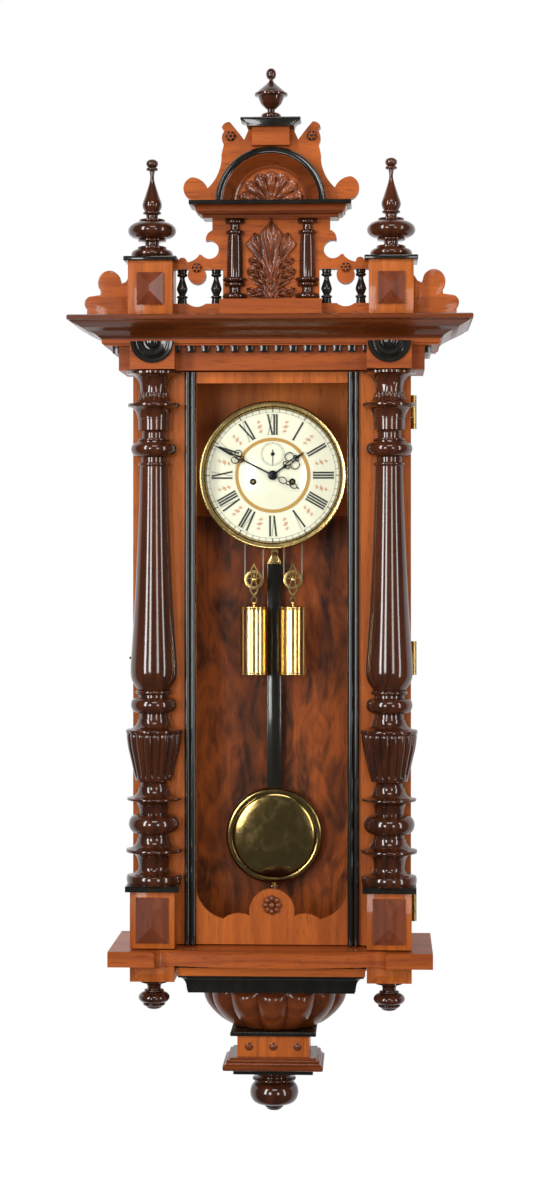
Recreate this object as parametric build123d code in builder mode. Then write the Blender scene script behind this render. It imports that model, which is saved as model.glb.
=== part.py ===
from build123d import *
import math
import os

# A weight-driven wall regulator clock in a carved walnut case, in millimetres.
# The origin is the hole of the hanger plate on the wall plane: +X right, -Y to the viewer, +Z up.

os.makedirs("parts", exist_ok=True)

# Case heights, stacked down from the hanger hole
hanger_drop = 28.0  # case top above the hanger hole
cornice_height = 29.0
frieze_height = 36.5
door_height = 723.0
door_play = 1.5
shelf_thickness = 19.0

# Case widths and depths
case_half_width = 172.0
frieze_step = 20.5  # the frieze stands out past the case by this
shelf_step = 9.5  # and the shelf past the frieze
case_depth = 95.0
frieze_depth = 125.0
shelf_depth = 170.0
cornice_reach = 60.0
board = 16.0  # thickness of the back board
side_thickness = 13.0
frieze_board = 14.0
soffit = 8.0

# Door
door_thickness = 18.0
door_lap = 3.5  # the door stands out past the case by this
opening_half_width = 95.5
bead_width = 15.0
bead_base = 2.0
glass = 3.0
top_rail = 14.0
hinge_play = 1.0  # door back face to the case front edge
pedestal_width = 56.0
pedestal_height = 71.0
pedestal_depth = 37.0
plinth_plate = 7.0
column_inset = 24.0  # column axis in from the side of the case
column_stand = 9.0  # column axis in front of the door face

# Glazed side frames
side_stile = 22.0
side_rail_top = 40.0
side_rail_bottom = 60.0

# Dial and movement
dial_drop = 168.4  # dial centre below the hanger hole
dial_radius = 87.0
dial_front = 86.5  # dial face in front of the wall
dial_plate = 1.5
bezel_radius = 94.5
bezel_depth = 12.0
subdial_rise = 27.0
plate_half_width = 50.0
plate_thickness = 3.0
back_plate_y = 42.0  # back face of the back plate from the wall
plate_gap = 31.0
pillar_radius = 4.0
arbor_radius = 2.0
arbor_play = 0.06
great_wheel_radius = 22.0
great_wheel_teeth = 48
escape_wheel_radius = 17.0
escape_teeth = 30
barrel_radius = 11.0
barrel_spacing = 50.0
barrel_drop = 8.4  # barrel axes below the dial centre

# Weights, pulleys and lines
weight_radius = 17.8
weight_height = 90.0
weight_top_drop = 335.5
weight_y = 62.0
pulley_radius = 12.2
pulley_width = 6.0
pulley_drop = 301.7
line_radius = 0.6
line_gap = 0.05  # line to the groove that it lies in

# Pendulum
pivot_drop = 118.0
rod_width = 19.0
rod_thickness = 8.0
rod_y = 30.0
rod_top_drop = 281.0
bob_radius = 63.0
bob_thickness = 17.0
tip_clearance = 61.5  # pendulum tip above the shelf
tip_reach = 6.0  # tip below the bob

# Crest
crest_y = 130.0  # front face of the crest board
crest_board_thickness = 16.0
crest_pedestal_height = 70.0
crest_pedestal_width = 56.0
crest_pedestal_step = 2.5  # crest pedestals stand out past the columns by this
crest_plate = 6.0
crest_column_spacing = 91.0
crest_cornice_half = 82.0
crest_cornice_base = 151.0  # above the hanger hole
crest_cornice_height = 20.0
crest_cornice_reach = 19.0
arch_radius = 69.0
arch_band = 8.0
cove_inner = 44.0

# Levels and planes that follow from them
case_top = hanger_drop
frieze_top = case_top - cornice_height
frieze_bottom = frieze_top - frieze_height
door_top = frieze_bottom - door_play
door_bottom = door_top - door_height
shelf_top = door_bottom - door_play
shelf_bottom = shelf_top - shelf_thickness
door_back = case_depth + hinge_play
door_face = door_back + door_thickness
door_half_width = case_half_width + door_lap
frieze_half_width = case_half_width + frieze_step
shelf_half_width = frieze_half_width + shelf_step
column_x = case_half_width - column_inset
column_y = door_face + column_stand
pedestal_top = door_bottom + pedestal_height
column_top = door_top
column_height = column_top - pedestal_top - plinth_plate
front_plate_y = back_plate_y + plate_thickness + plate_gap
dial_z = -dial_drop
barrel_z = dial_z - barrel_drop
barrel_x = barrel_spacing / 2
escape_z = dial_z + subdial_rise
pivot_z = -pivot_drop
line_offset = barrel_radius + line_radius + line_gap


def keep(part, label):
    """Names a finished piece and writes it."""
    part.label = label
    export_step(part, f"parts/{label}.step")


# Outlines of turned work: each member goes down the axis from where the last one ended
def step(radius):
    """A square shoulder to the radius."""
    return ("line", 0.0, radius)


def taper(height, radius):
    """A straight or tapering length that ends at the radius."""
    return ("line", height, radius)


def bead(height, radius, neck):
    """A bead cut in two slopes, so that it has few faces: out to the radius and back to the neck."""
    return [taper(height / 2, radius), taper(height / 2, neck)]


def swell(height, middle, radius):
    """A length that bends through the middle radius and ends at the radius."""
    return ("swell", height, (middle, radius))


def turn(members, x, y, top, sweep_angle=360):
    """Revolves the members about a vertical axis, from the top down."""
    plane = Plane(origin=(x, y, top), x_dir=(1, 0, 0), z_dir=(0, -1, 0))
    with BuildSketch(plane) as half:
        with BuildLine():
            radius = 0.0
            depth = 0.0
            for form, height, size in members:
                here = (radius, -depth)
                if form == "line":
                    there = (size, -depth - height)
                    Line(here, there)
                    radius = size
                elif form == "swell":
                    there = (size[1], -depth - height)
                    ThreePointArc(here, (size[0], -depth - height / 2), there)
                    radius = size[1]
                depth += height
            if radius > 0:
                Line((radius, -depth), (0, -depth))
            Line((0, -depth), (0, 0))
        make_face()
    revolve(half.sketch, axis=Axis((x, y, 0), (0, 0, 1)), revolution_arc=sweep_angle)


def box_between(x0, x1, y0, y1, z0, z1, mode=Mode.ADD):
    """A block between two corners, where y is the distance in front of the wall."""
    with Locations(((x0 + x1) / 2, -(y0 + y1) / 2, (z0 + z1) / 2)):
        Box(abs(x1 - x0), abs(y1 - y0), abs(z1 - z0), mode=mode)


def upright(y):
    """The plane that faces the viewer at a distance y in front of the wall, with x right and z up."""
    return Plane(origin=(0, -y, 0), x_dir=(1, 0, 0), z_dir=(0, -1, 0))


def run_round(half_width, depth, z, outline):
    """Runs a moulding round the left, the front and the right of a body that stands on the wall."""
    with BuildLine() as path:
        Polyline((-half_width, 0, z), (-half_width, -depth, z), (half_width, -depth, z), (half_width, 0, z))
    with BuildSketch(Plane(origin=(-half_width, 0, z), x_dir=(-1, 0, 0), z_dir=(0, 1, 0))) as section:
        with BuildLine():
            outline()
        make_face()
    sweep(section.sketch, path=path.wires()[0], transition=Transition.RIGHT)


# Back board, with the recess of the hanger plate and a pocket for the wall hook's head
hanger_plate_width = 40.0
hanger_plate_height = 30.0
hanger_plate_thickness = 3.0
hanger_hole = 4.0
hook_pocket = 11.0

with BuildPart() as backboard:
    box_between(-case_half_width, case_half_width, 0, board, shelf_top, case_top)
    box_between(-hanger_plate_width / 2, hanger_plate_width / 2, 0, hanger_plate_thickness,
                -hanger_plate_height / 2, hanger_plate_height / 2, Mode.SUBTRACT)
    with BuildSketch(Plane(origin=(0, -hanger_plate_thickness, 0), x_dir=(1, 0, 0), z_dir=(0, -1, 0))):
        Circle(hanger_hole + 4)
    extrude(amount=hook_pocket - hanger_plate_thickness, mode=Mode.SUBTRACT)
keep(backboard.part, "backboard")

with BuildPart() as hanger_plate:
    box_between(-hanger_plate_width / 2, hanger_plate_width / 2, 0, hanger_plate_thickness,
                -hanger_plate_height / 2, hanger_plate_height / 2)
    with BuildSketch(Plane(origin=(0, 0, 0), x_dir=(1, 0, 0), z_dir=(0, -1, 0))):
        Circle(hanger_hole)
        with Locations((-14, 0), (14, 0)):
            Circle(1.6)
    extrude(amount=hanger_plate_thickness, mode=Mode.SUBTRACT)
keep(hanger_plate.part, "hanger_plate")

# Side frames of the case, each a framed window with its pane in a groove
window_front = case_depth - side_stile
window_back = board + side_stile
window_top = frieze_bottom - side_rail_top
window_bottom = shelf_top + side_rail_bottom
rebate = 4.0

with BuildPart() as side_frames:
    for side in (-1, 1):
        outer = side * case_half_width
        inner = side * (case_half_width - side_thickness)
        middle = (outer + inner) / 2
        box_between(inner, outer, board, case_depth, shelf_top, frieze_bottom)
        box_between(inner, outer, window_back, window_front, window_bottom, window_top, Mode.SUBTRACT)
        box_between(middle - glass / 2, middle + glass / 2, window_back - rebate, window_front + rebate,
                    window_bottom - rebate, window_top + rebate, Mode.SUBTRACT)
keep(side_frames.part, "side_frames")

with BuildPart() as side_glass:
    for side in (-1, 1):
        middle = side * (case_half_width - side_thickness / 2)
        box_between(middle - glass / 2, middle + glass / 2, window_back - rebate, window_front + rebate,
                    window_bottom - rebate, window_top + rebate)
keep(side_glass.part, "side_glass")

# Top of the case: soffit, frieze boards and the proud corner blocks over the columns
block_half = pedestal_width / 2
block_front = column_y + pedestal_width / 2
block_top = frieze_top - 2.5
with BuildPart() as frieze:
    box_between(-frieze_half_width, frieze_half_width, board, frieze_depth, frieze_bottom,
                frieze_bottom + soffit)
    box_between(-frieze_half_width, frieze_half_width, frieze_depth - frieze_board, frieze_depth,
                frieze_bottom + soffit, case_top - frieze_board)
    for side in (-1, 1):
        box_between(side * (frieze_half_width - frieze_board), side * frieze_half_width, board,
                    frieze_depth - frieze_board, frieze_bottom + soffit, case_top - frieze_board)
        box_between(side * (column_x - block_half), side * (column_x + block_half), frieze_depth,
                    block_front,
                    frieze_bottom, block_top)
keep(frieze.part, "frieze")

with BuildPart() as top_board:
    box_between(-frieze_half_width, frieze_half_width, board, frieze_depth, case_top - frieze_board,
                case_top)
keep(top_board.part, "top_board")

# Main cornice: a bed moulding, a deep cyma and a top fillet
cornice_base = frieze_top - 1.0
cornice_rise = case_top - cornice_base


def cornice_outline():
    """Section of the main cornice, outwards and upwards from the frieze face."""
    reach = cornice_reach
    rise = cornice_rise
    Line((0, 0), (0.28 * reach, 0))
    Line((0.28 * reach, 0), (0.36 * reach, 0.13 * rise))
    Line((0.36 * reach, 0.13 * rise), (0.45 * reach, 0.2 * rise))
    Line((0.45 * reach, 0.2 * rise), (0.45 * reach, 0.29 * rise))
    ThreePointArc((0.45 * reach, 0.29 * rise), (0.72 * reach, 0.49 * rise), (0.93 * reach, 0.74 * rise))
    Line((0.93 * reach, 0.74 * rise), (reach, 0.8 * rise))
    Line((reach, 0.8 * rise), (reach, rise))
    Line((reach, rise), (0, rise))
    Line((0, rise), (0, 0))


with BuildPart() as main_cornice:
    run_round(frieze_half_width, frieze_depth, cornice_base, cornice_outline)
keep(main_cornice.part, "main_cornice")

# Dentils under the cornice, between and outside the corner blocks
dentil_pitch = 19.0
dentil_width = 12.0
dentil_height = 12.0
dentil_reach = 9.0
with BuildPart() as dentil_band:
    span = 2 * (column_x - block_half) - 4
    count = int(span // dentil_pitch)
    run = (count - 1) * dentil_pitch + dentil_width
    box_between(-run / 2, run / 2, frieze_depth, frieze_depth + dentil_reach / 2,
                cornice_base - dentil_height, cornice_base)
    for k in range(count):
        left = -run / 2 + k * dentil_pitch
        box_between(left, left + dentil_width, frieze_depth + dentil_reach / 2, frieze_depth + dentil_reach,
                    cornice_base - dentil_height, cornice_base)
    for side in (-1, 1):
        wall = side * frieze_half_width
        returns = int((frieze_depth - board) // dentil_pitch)
        box_between(wall, wall + side * dentil_reach / 2, board, frieze_depth,
                    cornice_base - dentil_height, cornice_base)
        for k in range(returns):
            near = frieze_depth - dentil_width - k * dentil_pitch
            box_between(wall + side * dentil_reach / 2, wall + side * dentil_reach, near,
                        near + dentil_width,
                        cornice_base - dentil_height, cornice_base)
keep(dentil_band.part, "dentil_band")

# Bull's-eye roundels: the lower halves show under the cornice on the corner blocks
roundel_radius = 27.0
console_z = shelf_bottom - 37.5
console_face = 72.0
stud_radius = 5.0
bowl_bottom = console_z - 60.0
plate_under_bowl = 6.0
block_under_bowl = 26.0
stud_spacing = 31.0

with BuildPart() as case_bosses:
    for side in (-1, 1):
        for radius, proud in ((roundel_radius, 4.0), (roundel_radius * 0.74, 6.5),
                              (roundel_radius * 0.33, 9.5)):
            with BuildSketch(upright(block_front)):
                with BuildLine():
                    centre = side * column_x
                    CenterArc((centre, block_top), radius, 180, 180)
                    Line((centre - radius, block_top), (centre + radius, block_top))
                make_face()
            extrude(amount=proud)
    stud_z = bowl_bottom - plate_under_bowl - block_under_bowl / 2
    with BuildSketch(upright(console_face)):
        with Locations((-stud_spacing, stud_z), (0, stud_z), (stud_spacing, stud_z)):
            Circle(stud_radius)
    extrude(amount=3.0, taper=25)
keep(case_bosses.part, "case_bosses")

# Base shelf: square ends under the pedestals and a bowed front between them
shelf_end = 58.0  # width of each square end
bow_start = 20.0  # length of the hollow beside each end
with BuildPart() as base_shelf:
    with BuildSketch(Plane.XY.offset(shelf_bottom)):
        with BuildLine():
            end = shelf_half_width - shelf_end
            hollow = shelf_depth - 16.0
            Polyline((-end, -shelf_depth), (-shelf_half_width, -shelf_depth), (-shelf_half_width, 0),
                     (shelf_half_width, 0), (shelf_half_width, -shelf_depth), (end, -shelf_depth))
            ThreePointArc((end, -shelf_depth), (end - bow_start / 2, -hollow), (end - bow_start, -hollow))
            ThreePointArc((end - bow_start, -hollow), (0, -shelf_depth), (bow_start - end, -hollow))
            ThreePointArc((bow_start - end, -hollow), (bow_start / 2 - end, -hollow), (-end, -shelf_depth))
        make_face()
    extrude(amount=shelf_thickness)
    chamfer(base_shelf.faces().sort_by(Axis.Z)[-1].edges().sort_by(Axis.Y)[:3], length=2.5)
keep(base_shelf.part, "base_shelf")

# Drop blocks under the ends of the shelf, each with a bevelled panel on its face
drop_block_height = 21.0
drop_front = column_y + block_half
with BuildPart() as drop_blocks:
    for side in (-1, 1):
        centre = side * column_x
        box_between(centre - block_half, centre + block_half, 0, drop_front,
                    shelf_bottom - drop_block_height, shelf_bottom)
        with BuildSketch(upright(drop_front)):
            with Locations((centre, shelf_bottom - drop_block_height / 2)):
                Rectangle(pedestal_width - 12, drop_block_height - 7)
        extrude(amount=3.0, taper=35)
keep(drop_blocks.part, "drop_blocks")

# Mouldings under the shelf, stepping in to the bowl
moulding_half = 116.0
moulding_depth = 140.0


def base_outline():
    """Section of the mouldings under the shelf, outwards and upwards from their inner edge."""
    Line((0, 0), (9, 0))
    ThreePointArc((9, 0), (11, 8), (20, 13))
    Line((20, 13), (20, 22))
    Line((20, 22), (23, 25))
    Line((23, 25), (23, -console_z + shelf_bottom))
    Line((23, -console_z + shelf_bottom), (0, -console_z + shelf_bottom))
    Line((0, -console_z + shelf_bottom), (0, 0))


with BuildPart() as base_moulding:
    inner_half = moulding_half - 20
    inner_depth = moulding_depth - 20
    run_round(inner_half, inner_depth, console_z, base_outline)
    box_between(-inner_half, inner_half, 0, inner_depth, console_z, shelf_bottom)
keep(base_moulding.part, "base_moulding")

# Gadrooned bowl: sections of half a lobed ellipse, one above another
lobes = 7
bowl_half_width = 98.0
bowl_depth = 112.0
bowl_foot_share = 0.56  # of the bowl's own width and depth
bowl_foot_half = bowl_foot_share * bowl_half_width
bowl_levels = 3
lobe_swell = 0.09
lobe_sides = 4


def lobed_half(share, z):
    """Half an ellipse of convex lobes, as one closed outline, at a share of the bowl's full size."""
    points = []
    steps = lobes * lobe_sides
    for k in range(steps + 1):
        a = math.pi * k / steps
        bulge = 1 - lobe_swell * (1 - math.sin(math.pi * (k % lobe_sides) / lobe_sides))
        points.append((share * bulge * bowl_half_width * math.cos(a),
                       -share * bulge * bowl_depth * math.sin(a)))
    with BuildSketch(Plane.XY.offset(z)) as outline:
        with BuildLine():
            Polyline(*points, close=True)
        make_face()
    return outline.sketch


with BuildPart() as console_bowl:
    rings = []
    for k in range(bowl_levels + 1):
        level = k / bowl_levels
        share = bowl_foot_share + (1 - bowl_foot_share) * math.sin(level * math.pi / 2) ** 0.8
        rings.append(lobed_half(share, bowl_bottom + (console_z - bowl_bottom) * level))
    loft(rings, ruled=True)
keep(console_bowl.part, "console_bowl")

# Console block under the bowl, with its plate, foot moulding and lower plate
console_half = 46.0
foot_half = 64.0
foot_height = 18.0
foot_flare = 9.0
lower_plate = 6.0
block_z = bowl_bottom - plate_under_bowl
foot_z = block_z - block_under_bowl
console_depth = console_face
with BuildPart() as console_block:
    box_between(-bowl_foot_half, bowl_foot_half, 0, console_depth + 3, block_z, bowl_bottom)
    box_between(-console_half, console_half, 0, console_depth, foot_z, block_z)
    box_between(-foot_half, foot_half, 0, console_depth + 16, foot_z - foot_height, foot_z - 2)
    chamfer(console_block.edges().filter_by(Axis.X).group_by(Axis.Z)[-5].sort_by(Axis.Y)[0], length=3)
    box_between(-foot_half + foot_flare, foot_half - foot_flare, 0, console_depth + 9, foot_z - 2, foot_z)
    box_between(-51, 51, 0, console_depth + 4, foot_z - foot_height - lower_plate, foot_z - foot_height)
keep(console_block.part, "console_block")

# Turned drops: a large ball under the console and one under each end of the shelf
finial_top = foot_z - foot_height - lower_plate
drop_top = shelf_bottom - drop_block_height
bottom_y = 40.0
ball_members = [step(26), taper(5, 22.5), taper(4, 28), taper(5, 22), taper(9, 29.5), taper(12, 31.5),
                taper(9, 26),
                taper(8, 12), step(0)]
drop_members = [step(17), taper(5, 17), taper(6, 8.4), taper(4, 8.4), *bead(16, 19.5, 10),
                *bead(7, 15.5, 8), step(0)]
with BuildPart() as lower_finials:
    turn(ball_members, 0, -bottom_y, finial_top)
    for side in (-1, 1):
        turn(drop_members, side * column_x, -column_y, drop_top)
keep(lower_finials.part, "lower_finials")

# Inner board behind the dial, which carries the movement
inner_board_thickness = 5.0
inner_board_drop = 182.0
with BuildPart() as inner_board:
    box_between(-case_half_width + side_thickness, case_half_width - side_thickness, board,
                board + inner_board_thickness, frieze_bottom - inner_board_drop, frieze_bottom)
keep(inner_board.part, "inner_board")


# Door frame: two stiles, a slim top rail and a bottom rail with a fretted upper edge
lip = 10.0  # wood in front of the pane
pane_edge = 6.0  # pane held at each edge
pane_bottom = door_bottom + 12.0
pane_top = door_top - 4.0
fret_side = door_bottom + 66.0
fret_dip = door_bottom + 32.0
fret_crown = door_bottom + 70.0
rail_front = door_face - 3.0
rosette_z = door_bottom + 50.0
rosette_radius = 12.6

with BuildPart() as door_frame:
    for side in (-1, 1):
        inner = side * opening_half_width
        box_between(inner, side * door_half_width, door_back, door_face, door_bottom, door_top)
        box_between(inner, inner + side * pane_edge, door_back, door_face - lip, pane_bottom, pane_top,
                    Mode.SUBTRACT)
    box_between(-opening_half_width, opening_half_width, door_face - lip, door_face, door_top - top_rail,
                door_top)
    box_between(-opening_half_width, opening_half_width, door_back, door_face - lip, pane_top, door_top)
    with BuildSketch(upright(rail_front)):
        with BuildLine():
            half = opening_half_width
            Polyline((-half, fret_side), (-half, door_bottom), (half, door_bottom), (half, fret_side))
            ThreePointArc((half, fret_side), (half - 12, fret_dip + 12), (half - 34, fret_dip))
            ThreePointArc((half - 34, fret_dip), (half - 52, fret_dip + 7), (28, fret_dip + 4))
            ThreePointArc((28, fret_dip + 4), (0, fret_crown), (-28, fret_dip + 4))
            ThreePointArc((-28, fret_dip + 4), (52 - half, fret_dip + 7), (34 - half, fret_dip))
            ThreePointArc((34 - half, fret_dip), (12 - half, fret_dip + 12), (-half, fret_side))
        make_face()
    extrude(amount=-(rail_front - door_face + lip))
keep(door_frame.part, "door_frame")

with BuildPart() as door_glass:
    box_between(-opening_half_width - pane_edge, opening_half_width + pane_edge, door_face - lip - glass,
                door_face - lip, pane_bottom, pane_top)
keep(door_glass.part, "door_glass")

# Double beads along the inner edges of the stiles
with BuildPart() as door_beads:
    for side in (-1, 1):
        with BuildSketch(Plane.XY.offset(door_bottom)):
            with BuildLine():
                near = side * opening_half_width
                half = side * bead_width / 2
                base = -door_face - bead_base
                bead_crown = base - 0.46 * bead_width / 2
                Polyline((near, base), (near, -door_face), (near + 2 * half, -door_face),
                         (near + 2 * half, base))
                ThreePointArc((near + 2 * half, base), (near + 1.5 * half, bead_crown),
                              (near + half, base))
                ThreePointArc((near + half, base), (near + 0.5 * half, bead_crown), (near, base))
            make_face()
        extrude(amount=door_height)
keep(door_beads.part, "door_beads")

# Pedestals on the door, each with a hipped panel on its face
panel_width = 41.0
panel_height = 57.0
panel_rise = 7.0
ridge = 16.0


def hipped_panel(x, y, z, width, height, rise, ridge_width, ridge_height):
    """A raised panel whose four slopes meet in a ridge."""
    with BuildSketch(upright(y)) as foot:
        with Locations((x, z)):
            Rectangle(width, height)
    with BuildSketch(upright(y + rise)) as top:
        with Locations((x, z)):
            Rectangle(ridge_width, ridge_height)
    loft([foot.sketch, top.sketch], ruled=True)


with BuildPart() as door_pedestals:
    for side in (-1, 1):
        box_between(side * (column_x - block_half), side * (column_x + block_half), door_face,
                    door_face + pedestal_depth, door_bottom, pedestal_top)
        hipped_panel(side * column_x, door_face + pedestal_depth, (door_bottom + pedestal_top) / 2,
                     panel_width, panel_height, panel_rise, 1.0, ridge)
keep(door_pedestals.part, "door_pedestals")

plate_overhang = 5.5
with BuildPart() as column_plinths:
    for side in (-1, 1):
        box_between(side * (column_x - block_half - plate_overhang),
                    side * (column_x + block_half + plate_overhang),
                    door_face, door_face + pedestal_depth + plate_overhang, pedestal_top,
                    pedestal_top + plinth_plate)
    chamfer(column_plinths.edges().filter_by(Axis.X).group_by(Axis.Z)[-1].sort_by(Axis.Y)[:2], length=2)
keep(column_plinths.part, "column_plinths")

# Columns: turned, planed flat at the back and fixed to the stiles. The shaft takes up what height is left.
capital = [step(33), taper(3, 33), taper(8, 28), taper(12, 17.7), taper(4, 17.7), taper(14, 33),
           taper(3, 33),
           taper(14, 20.5), taper(15, 20), *bead(5, 15.7, 16), *bead(29, 29.5, 16.6), taper(6, 20),
           taper(4, 18.4)]
urn_top_radius = 35.0
urn_foot_radius = 23.0
urn_height = 56.0
above_urn = [taper(3, 24), taper(6, 20), *bead(25, 30, 19), taper(19, urn_top_radius - 1)]
below_urn = [step(urn_foot_radius - 1), taper(6, 17.5), *bead(35, 34, 18.5), *bead(33, 32.5, 20),
             taper(20, 35),
             taper(9, 27), taper(10, 19.7), taper(16, 34.6), taper(6, 34.6), step(0)]
reeds = 18


def member_height(members):
    """The height of a run of turned members."""
    return sum(height for form, height, size in members)


shaft_bottle = 19.0
shaft_height = (column_height - member_height(capital) - member_height(above_urn) - urn_height
                - member_height(below_urn) - shaft_bottle)
shaft = [swell(shaft_height, 22.6, 29.3), swell(shaft_bottle, 27, 20.5)]
urn_z = column_top - member_height(capital + shaft + above_urn)


def reeded_ring(x, y, z, radius):
    """A ring of reeds, each with two flat sides."""
    points = []
    for k in range(2 * reeds):
        a = math.pi * k / reeds
        reach = radius * (1.02 if k % 2 else 0.95)
        points.append((x + reach * math.cos(a), y + reach * math.sin(a)))
    with BuildSketch(Plane.XY.offset(z)) as ring:
        with BuildLine():
            Polyline(*points, close=True)
        make_face()
    return ring.sketch


def make_column(side):
    """One column of the door: capital, swelling shaft, reeded urn and turned foot."""
    x = side * column_x
    with BuildPart() as column:
        turn(capital + shaft + above_urn + [step(0)], x, -column_y, column_top)
        loft([reeded_ring(x, -column_y, urn_z, urn_top_radius),
              reeded_ring(x, -column_y, urn_z - urn_height, urn_foot_radius)], ruled=True)
        turn(below_urn, x, -column_y, urn_z - urn_height)
        split(bisect_by=Plane(origin=(0, -door_face, 0), z_dir=(0, -1, 0)), keep=Keep.TOP)
    return column.part


for side, label in ((-1, "column_left"), (1, "column_right")):
    keep(make_column(side), label)


# Hinges on the right and a hook on the left, outside the case
hinge_radius = 3.5
hinge_pin = 1.5
pin_play = 0.06
hinge_x = door_half_width + hinge_radius + 0.3
hinge_y = case_depth + hinge_play / 2
knuckle = 14.0
knuckle_play = 0.3
hinge_levels = (door_top - 50.0, (door_top + door_bottom) / 2, door_bottom + 50.0)
leaf_thickness = 2.0
leaf_length = 24.0
hook_z = (door_top + door_bottom) / 2
hook_y = case_depth - 10.0
stud_y = door_face - 8.0
hook_pin = 1.6
hook_arm_x = -door_half_width - 1.2
hook_thickness = 2.0


def upright_rod(x, y, z0, z1, radius, mode=Mode.ADD):
    """A vertical cylinder, where y is the distance in front of the wall."""
    with BuildSketch(Plane.XY.offset(z0)) as section:
        with Locations((x, -y)):
            Circle(radius)
    extrude(section.sketch, amount=z1 - z0, mode=mode)


def cross_rod(x, z, y0, y1, radius, mode=Mode.ADD):
    """A cylinder along Y between two distances from the wall."""
    with BuildSketch(upright(y0)) as section:
        with Locations((x, z)):
            Circle(radius)
    extrude(section.sketch, amount=y1 - y0, mode=mode)


def side_rod(y, z, x0, x1, radius, mode=Mode.ADD):
    """A cylinder along X."""
    with BuildSketch(Plane(origin=(x0, -y, z), x_dir=(0, 1, 0), z_dir=(1, 0, 0))) as section:
        Circle(radius)
    extrude(section.sketch, amount=x1 - x0, mode=mode)


# Turned rosette on the door's bottom rail
rosette_petals = 8
with BuildPart() as rail_rosette:
    cross_rod(0, rosette_z, rail_front, rail_front + 2.0, rosette_radius)
    for k in range(rosette_petals):
        turn_angle = 360 * k / rosette_petals
        with BuildSketch(upright(rail_front + 2.0)) as petal:
            with Locations((0, rosette_z)):
                with Locations(Location((0, 0), turn_angle)):
                    with Locations((0.6 * rosette_radius, 0)):
                        RegularPolygon(0.3 * rosette_radius, 6)
        extrude(petal.sketch, amount=2.0)
    cross_rod(0, rosette_z, rail_front + 2.0, rail_front + 6.0, 0.28 * rosette_radius)
keep(rail_rosette.part, "rail_rosette")

with BuildPart() as case_fittings:
    for level in hinge_levels:
        for end in (-1, 1):
            z0 = level + end * (knuckle / 2 + knuckle_play)
            z1 = z0 + end * knuckle
            upright_rod(hinge_x, hinge_y, min(z0, z1), max(z0, z1), hinge_radius)
            box_between(case_half_width, hinge_x, hinge_y - hinge_radius, hinge_y - 1.5, z0, z1)
            box_between(case_half_width, case_half_width + leaf_thickness, hinge_y - leaf_length,
                        hinge_y - 1.5,
                        z0, z1)
        upright_rod(hinge_x, hinge_y, level - knuckle / 2 - 1, level + knuckle / 2 + 1, hinge_pin)
    side_rod(hook_y, hook_z, -case_half_width - 8.5, -case_half_width, hook_pin)
    side_rod(hook_y, hook_z, hook_arm_x, -case_half_width, hook_pin + 2)
keep(case_fittings.part, "case_fittings")

with BuildPart() as door_fittings:
    for level in hinge_levels:
        z0 = level - knuckle / 2
        z1 = level + knuckle / 2
        upright_rod(hinge_x, hinge_y, z0, z1, hinge_radius)
        box_between(door_half_width, door_half_width + leaf_thickness, hinge_y + 1, door_face - 1, z0, z1)
        upright_rod(hinge_x, hinge_y, z0, z1, hinge_pin + pin_play, Mode.SUBTRACT)
    side_rod(stud_y, hook_z, -door_half_width - 5.5, -door_half_width, hook_pin)
keep(door_fittings.part, "door_fittings")

# Hook that turns on the case and drops over the stud of the door
hook_reach = stud_y - hook_y
hook_slot = hook_pin + 0.3
hook_mouth = hook_slot + 0.6
slot_z = hook_z + hook_reach
with BuildPart() as side_hook:
    # The hook stands raised. On this plane the first direction is +Y and the second is -Z.
    with BuildSketch(Plane(origin=(hook_arm_x - 0.3, 0, 0), x_dir=(0, 1, 0), z_dir=(-1, 0, 0))):
        with Locations((-hook_y, -hook_z)):
            Circle(hook_pin + 2.6)
        with Locations((-hook_y, -(hook_z + slot_z) / 2)):
            Rectangle(3.4, hook_reach)
        with Locations((-hook_y, -slot_z)):
            Circle(hook_slot + 2.2)
            Circle(hook_slot, mode=Mode.SUBTRACT)
        with Locations((-hook_y - 5, -slot_z)):
            Rectangle(10, 2 * hook_mouth, mode=Mode.SUBTRACT)
        with Locations((-hook_y, -hook_z)):
            Circle(hook_pin + pin_play, mode=Mode.SUBTRACT)
    extrude(amount=hook_thickness)
keep(side_hook.part, "side_hook")

# Movement: two plates on pillars, carried by posts on the inner board
plate_top = pivot_z + 12.0
plate_bottom = barrel_z - great_wheel_radius - 15.0
back_plate_front = back_plate_y + plate_thickness
front_plate_front = front_plate_y + plate_thickness
post_x = plate_half_width - 8.0
post_levels = (plate_top - 8.0, plate_bottom + 8.0)
board_front = board + inner_board_thickness
dial_back = dial_front - dial_plate
line_bar = 4.0
line_bar_top = plate_bottom + 12.0
stud_radius_back = 2.0
cock_half = 12.0
bore = arbor_radius + arbor_play
dial_foot_x = 34.0

with BuildPart() as movement_frame:
    for y0, y1 in ((back_plate_y, back_plate_front), (front_plate_y, front_plate_front)):
        box_between(-plate_half_width, plate_half_width, y0, y1, plate_bottom, plate_top)
        for x, z in ((0, dial_z), (0, escape_z), (0, pivot_z), (-barrel_x, barrel_z), (barrel_x, barrel_z)):
            cross_rod(x, z, y0, y1, bore, Mode.SUBTRACT)
    for x in (-post_x, post_x):
        for z in post_levels:
            cross_rod(x, z, board_front, back_plate_y, pillar_radius + 1)
            cross_rod(x, z, back_plate_front, front_plate_y, pillar_radius)
    for x in (-dial_foot_x, dial_foot_x):
        for z in post_levels:
            cross_rod(x, z, front_plate_front, dial_back, pillar_radius - 1)
    for side in (-1, 1):
        inner_end = side * (barrel_x - line_offset)
        box_between(inner_end - 2, inner_end + 2, back_plate_front, front_plate_y,
                    line_bar_top - line_bar, line_bar_top)
    box_between(-cock_half, cock_half, board_front, board_front + 3, pivot_z - 14, pivot_z + 14)
    cross_rod(0, pivot_z, board_front + 3, rod_y + 4, stud_radius_back)
keep(movement_frame.part, "movement_frame")

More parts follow.
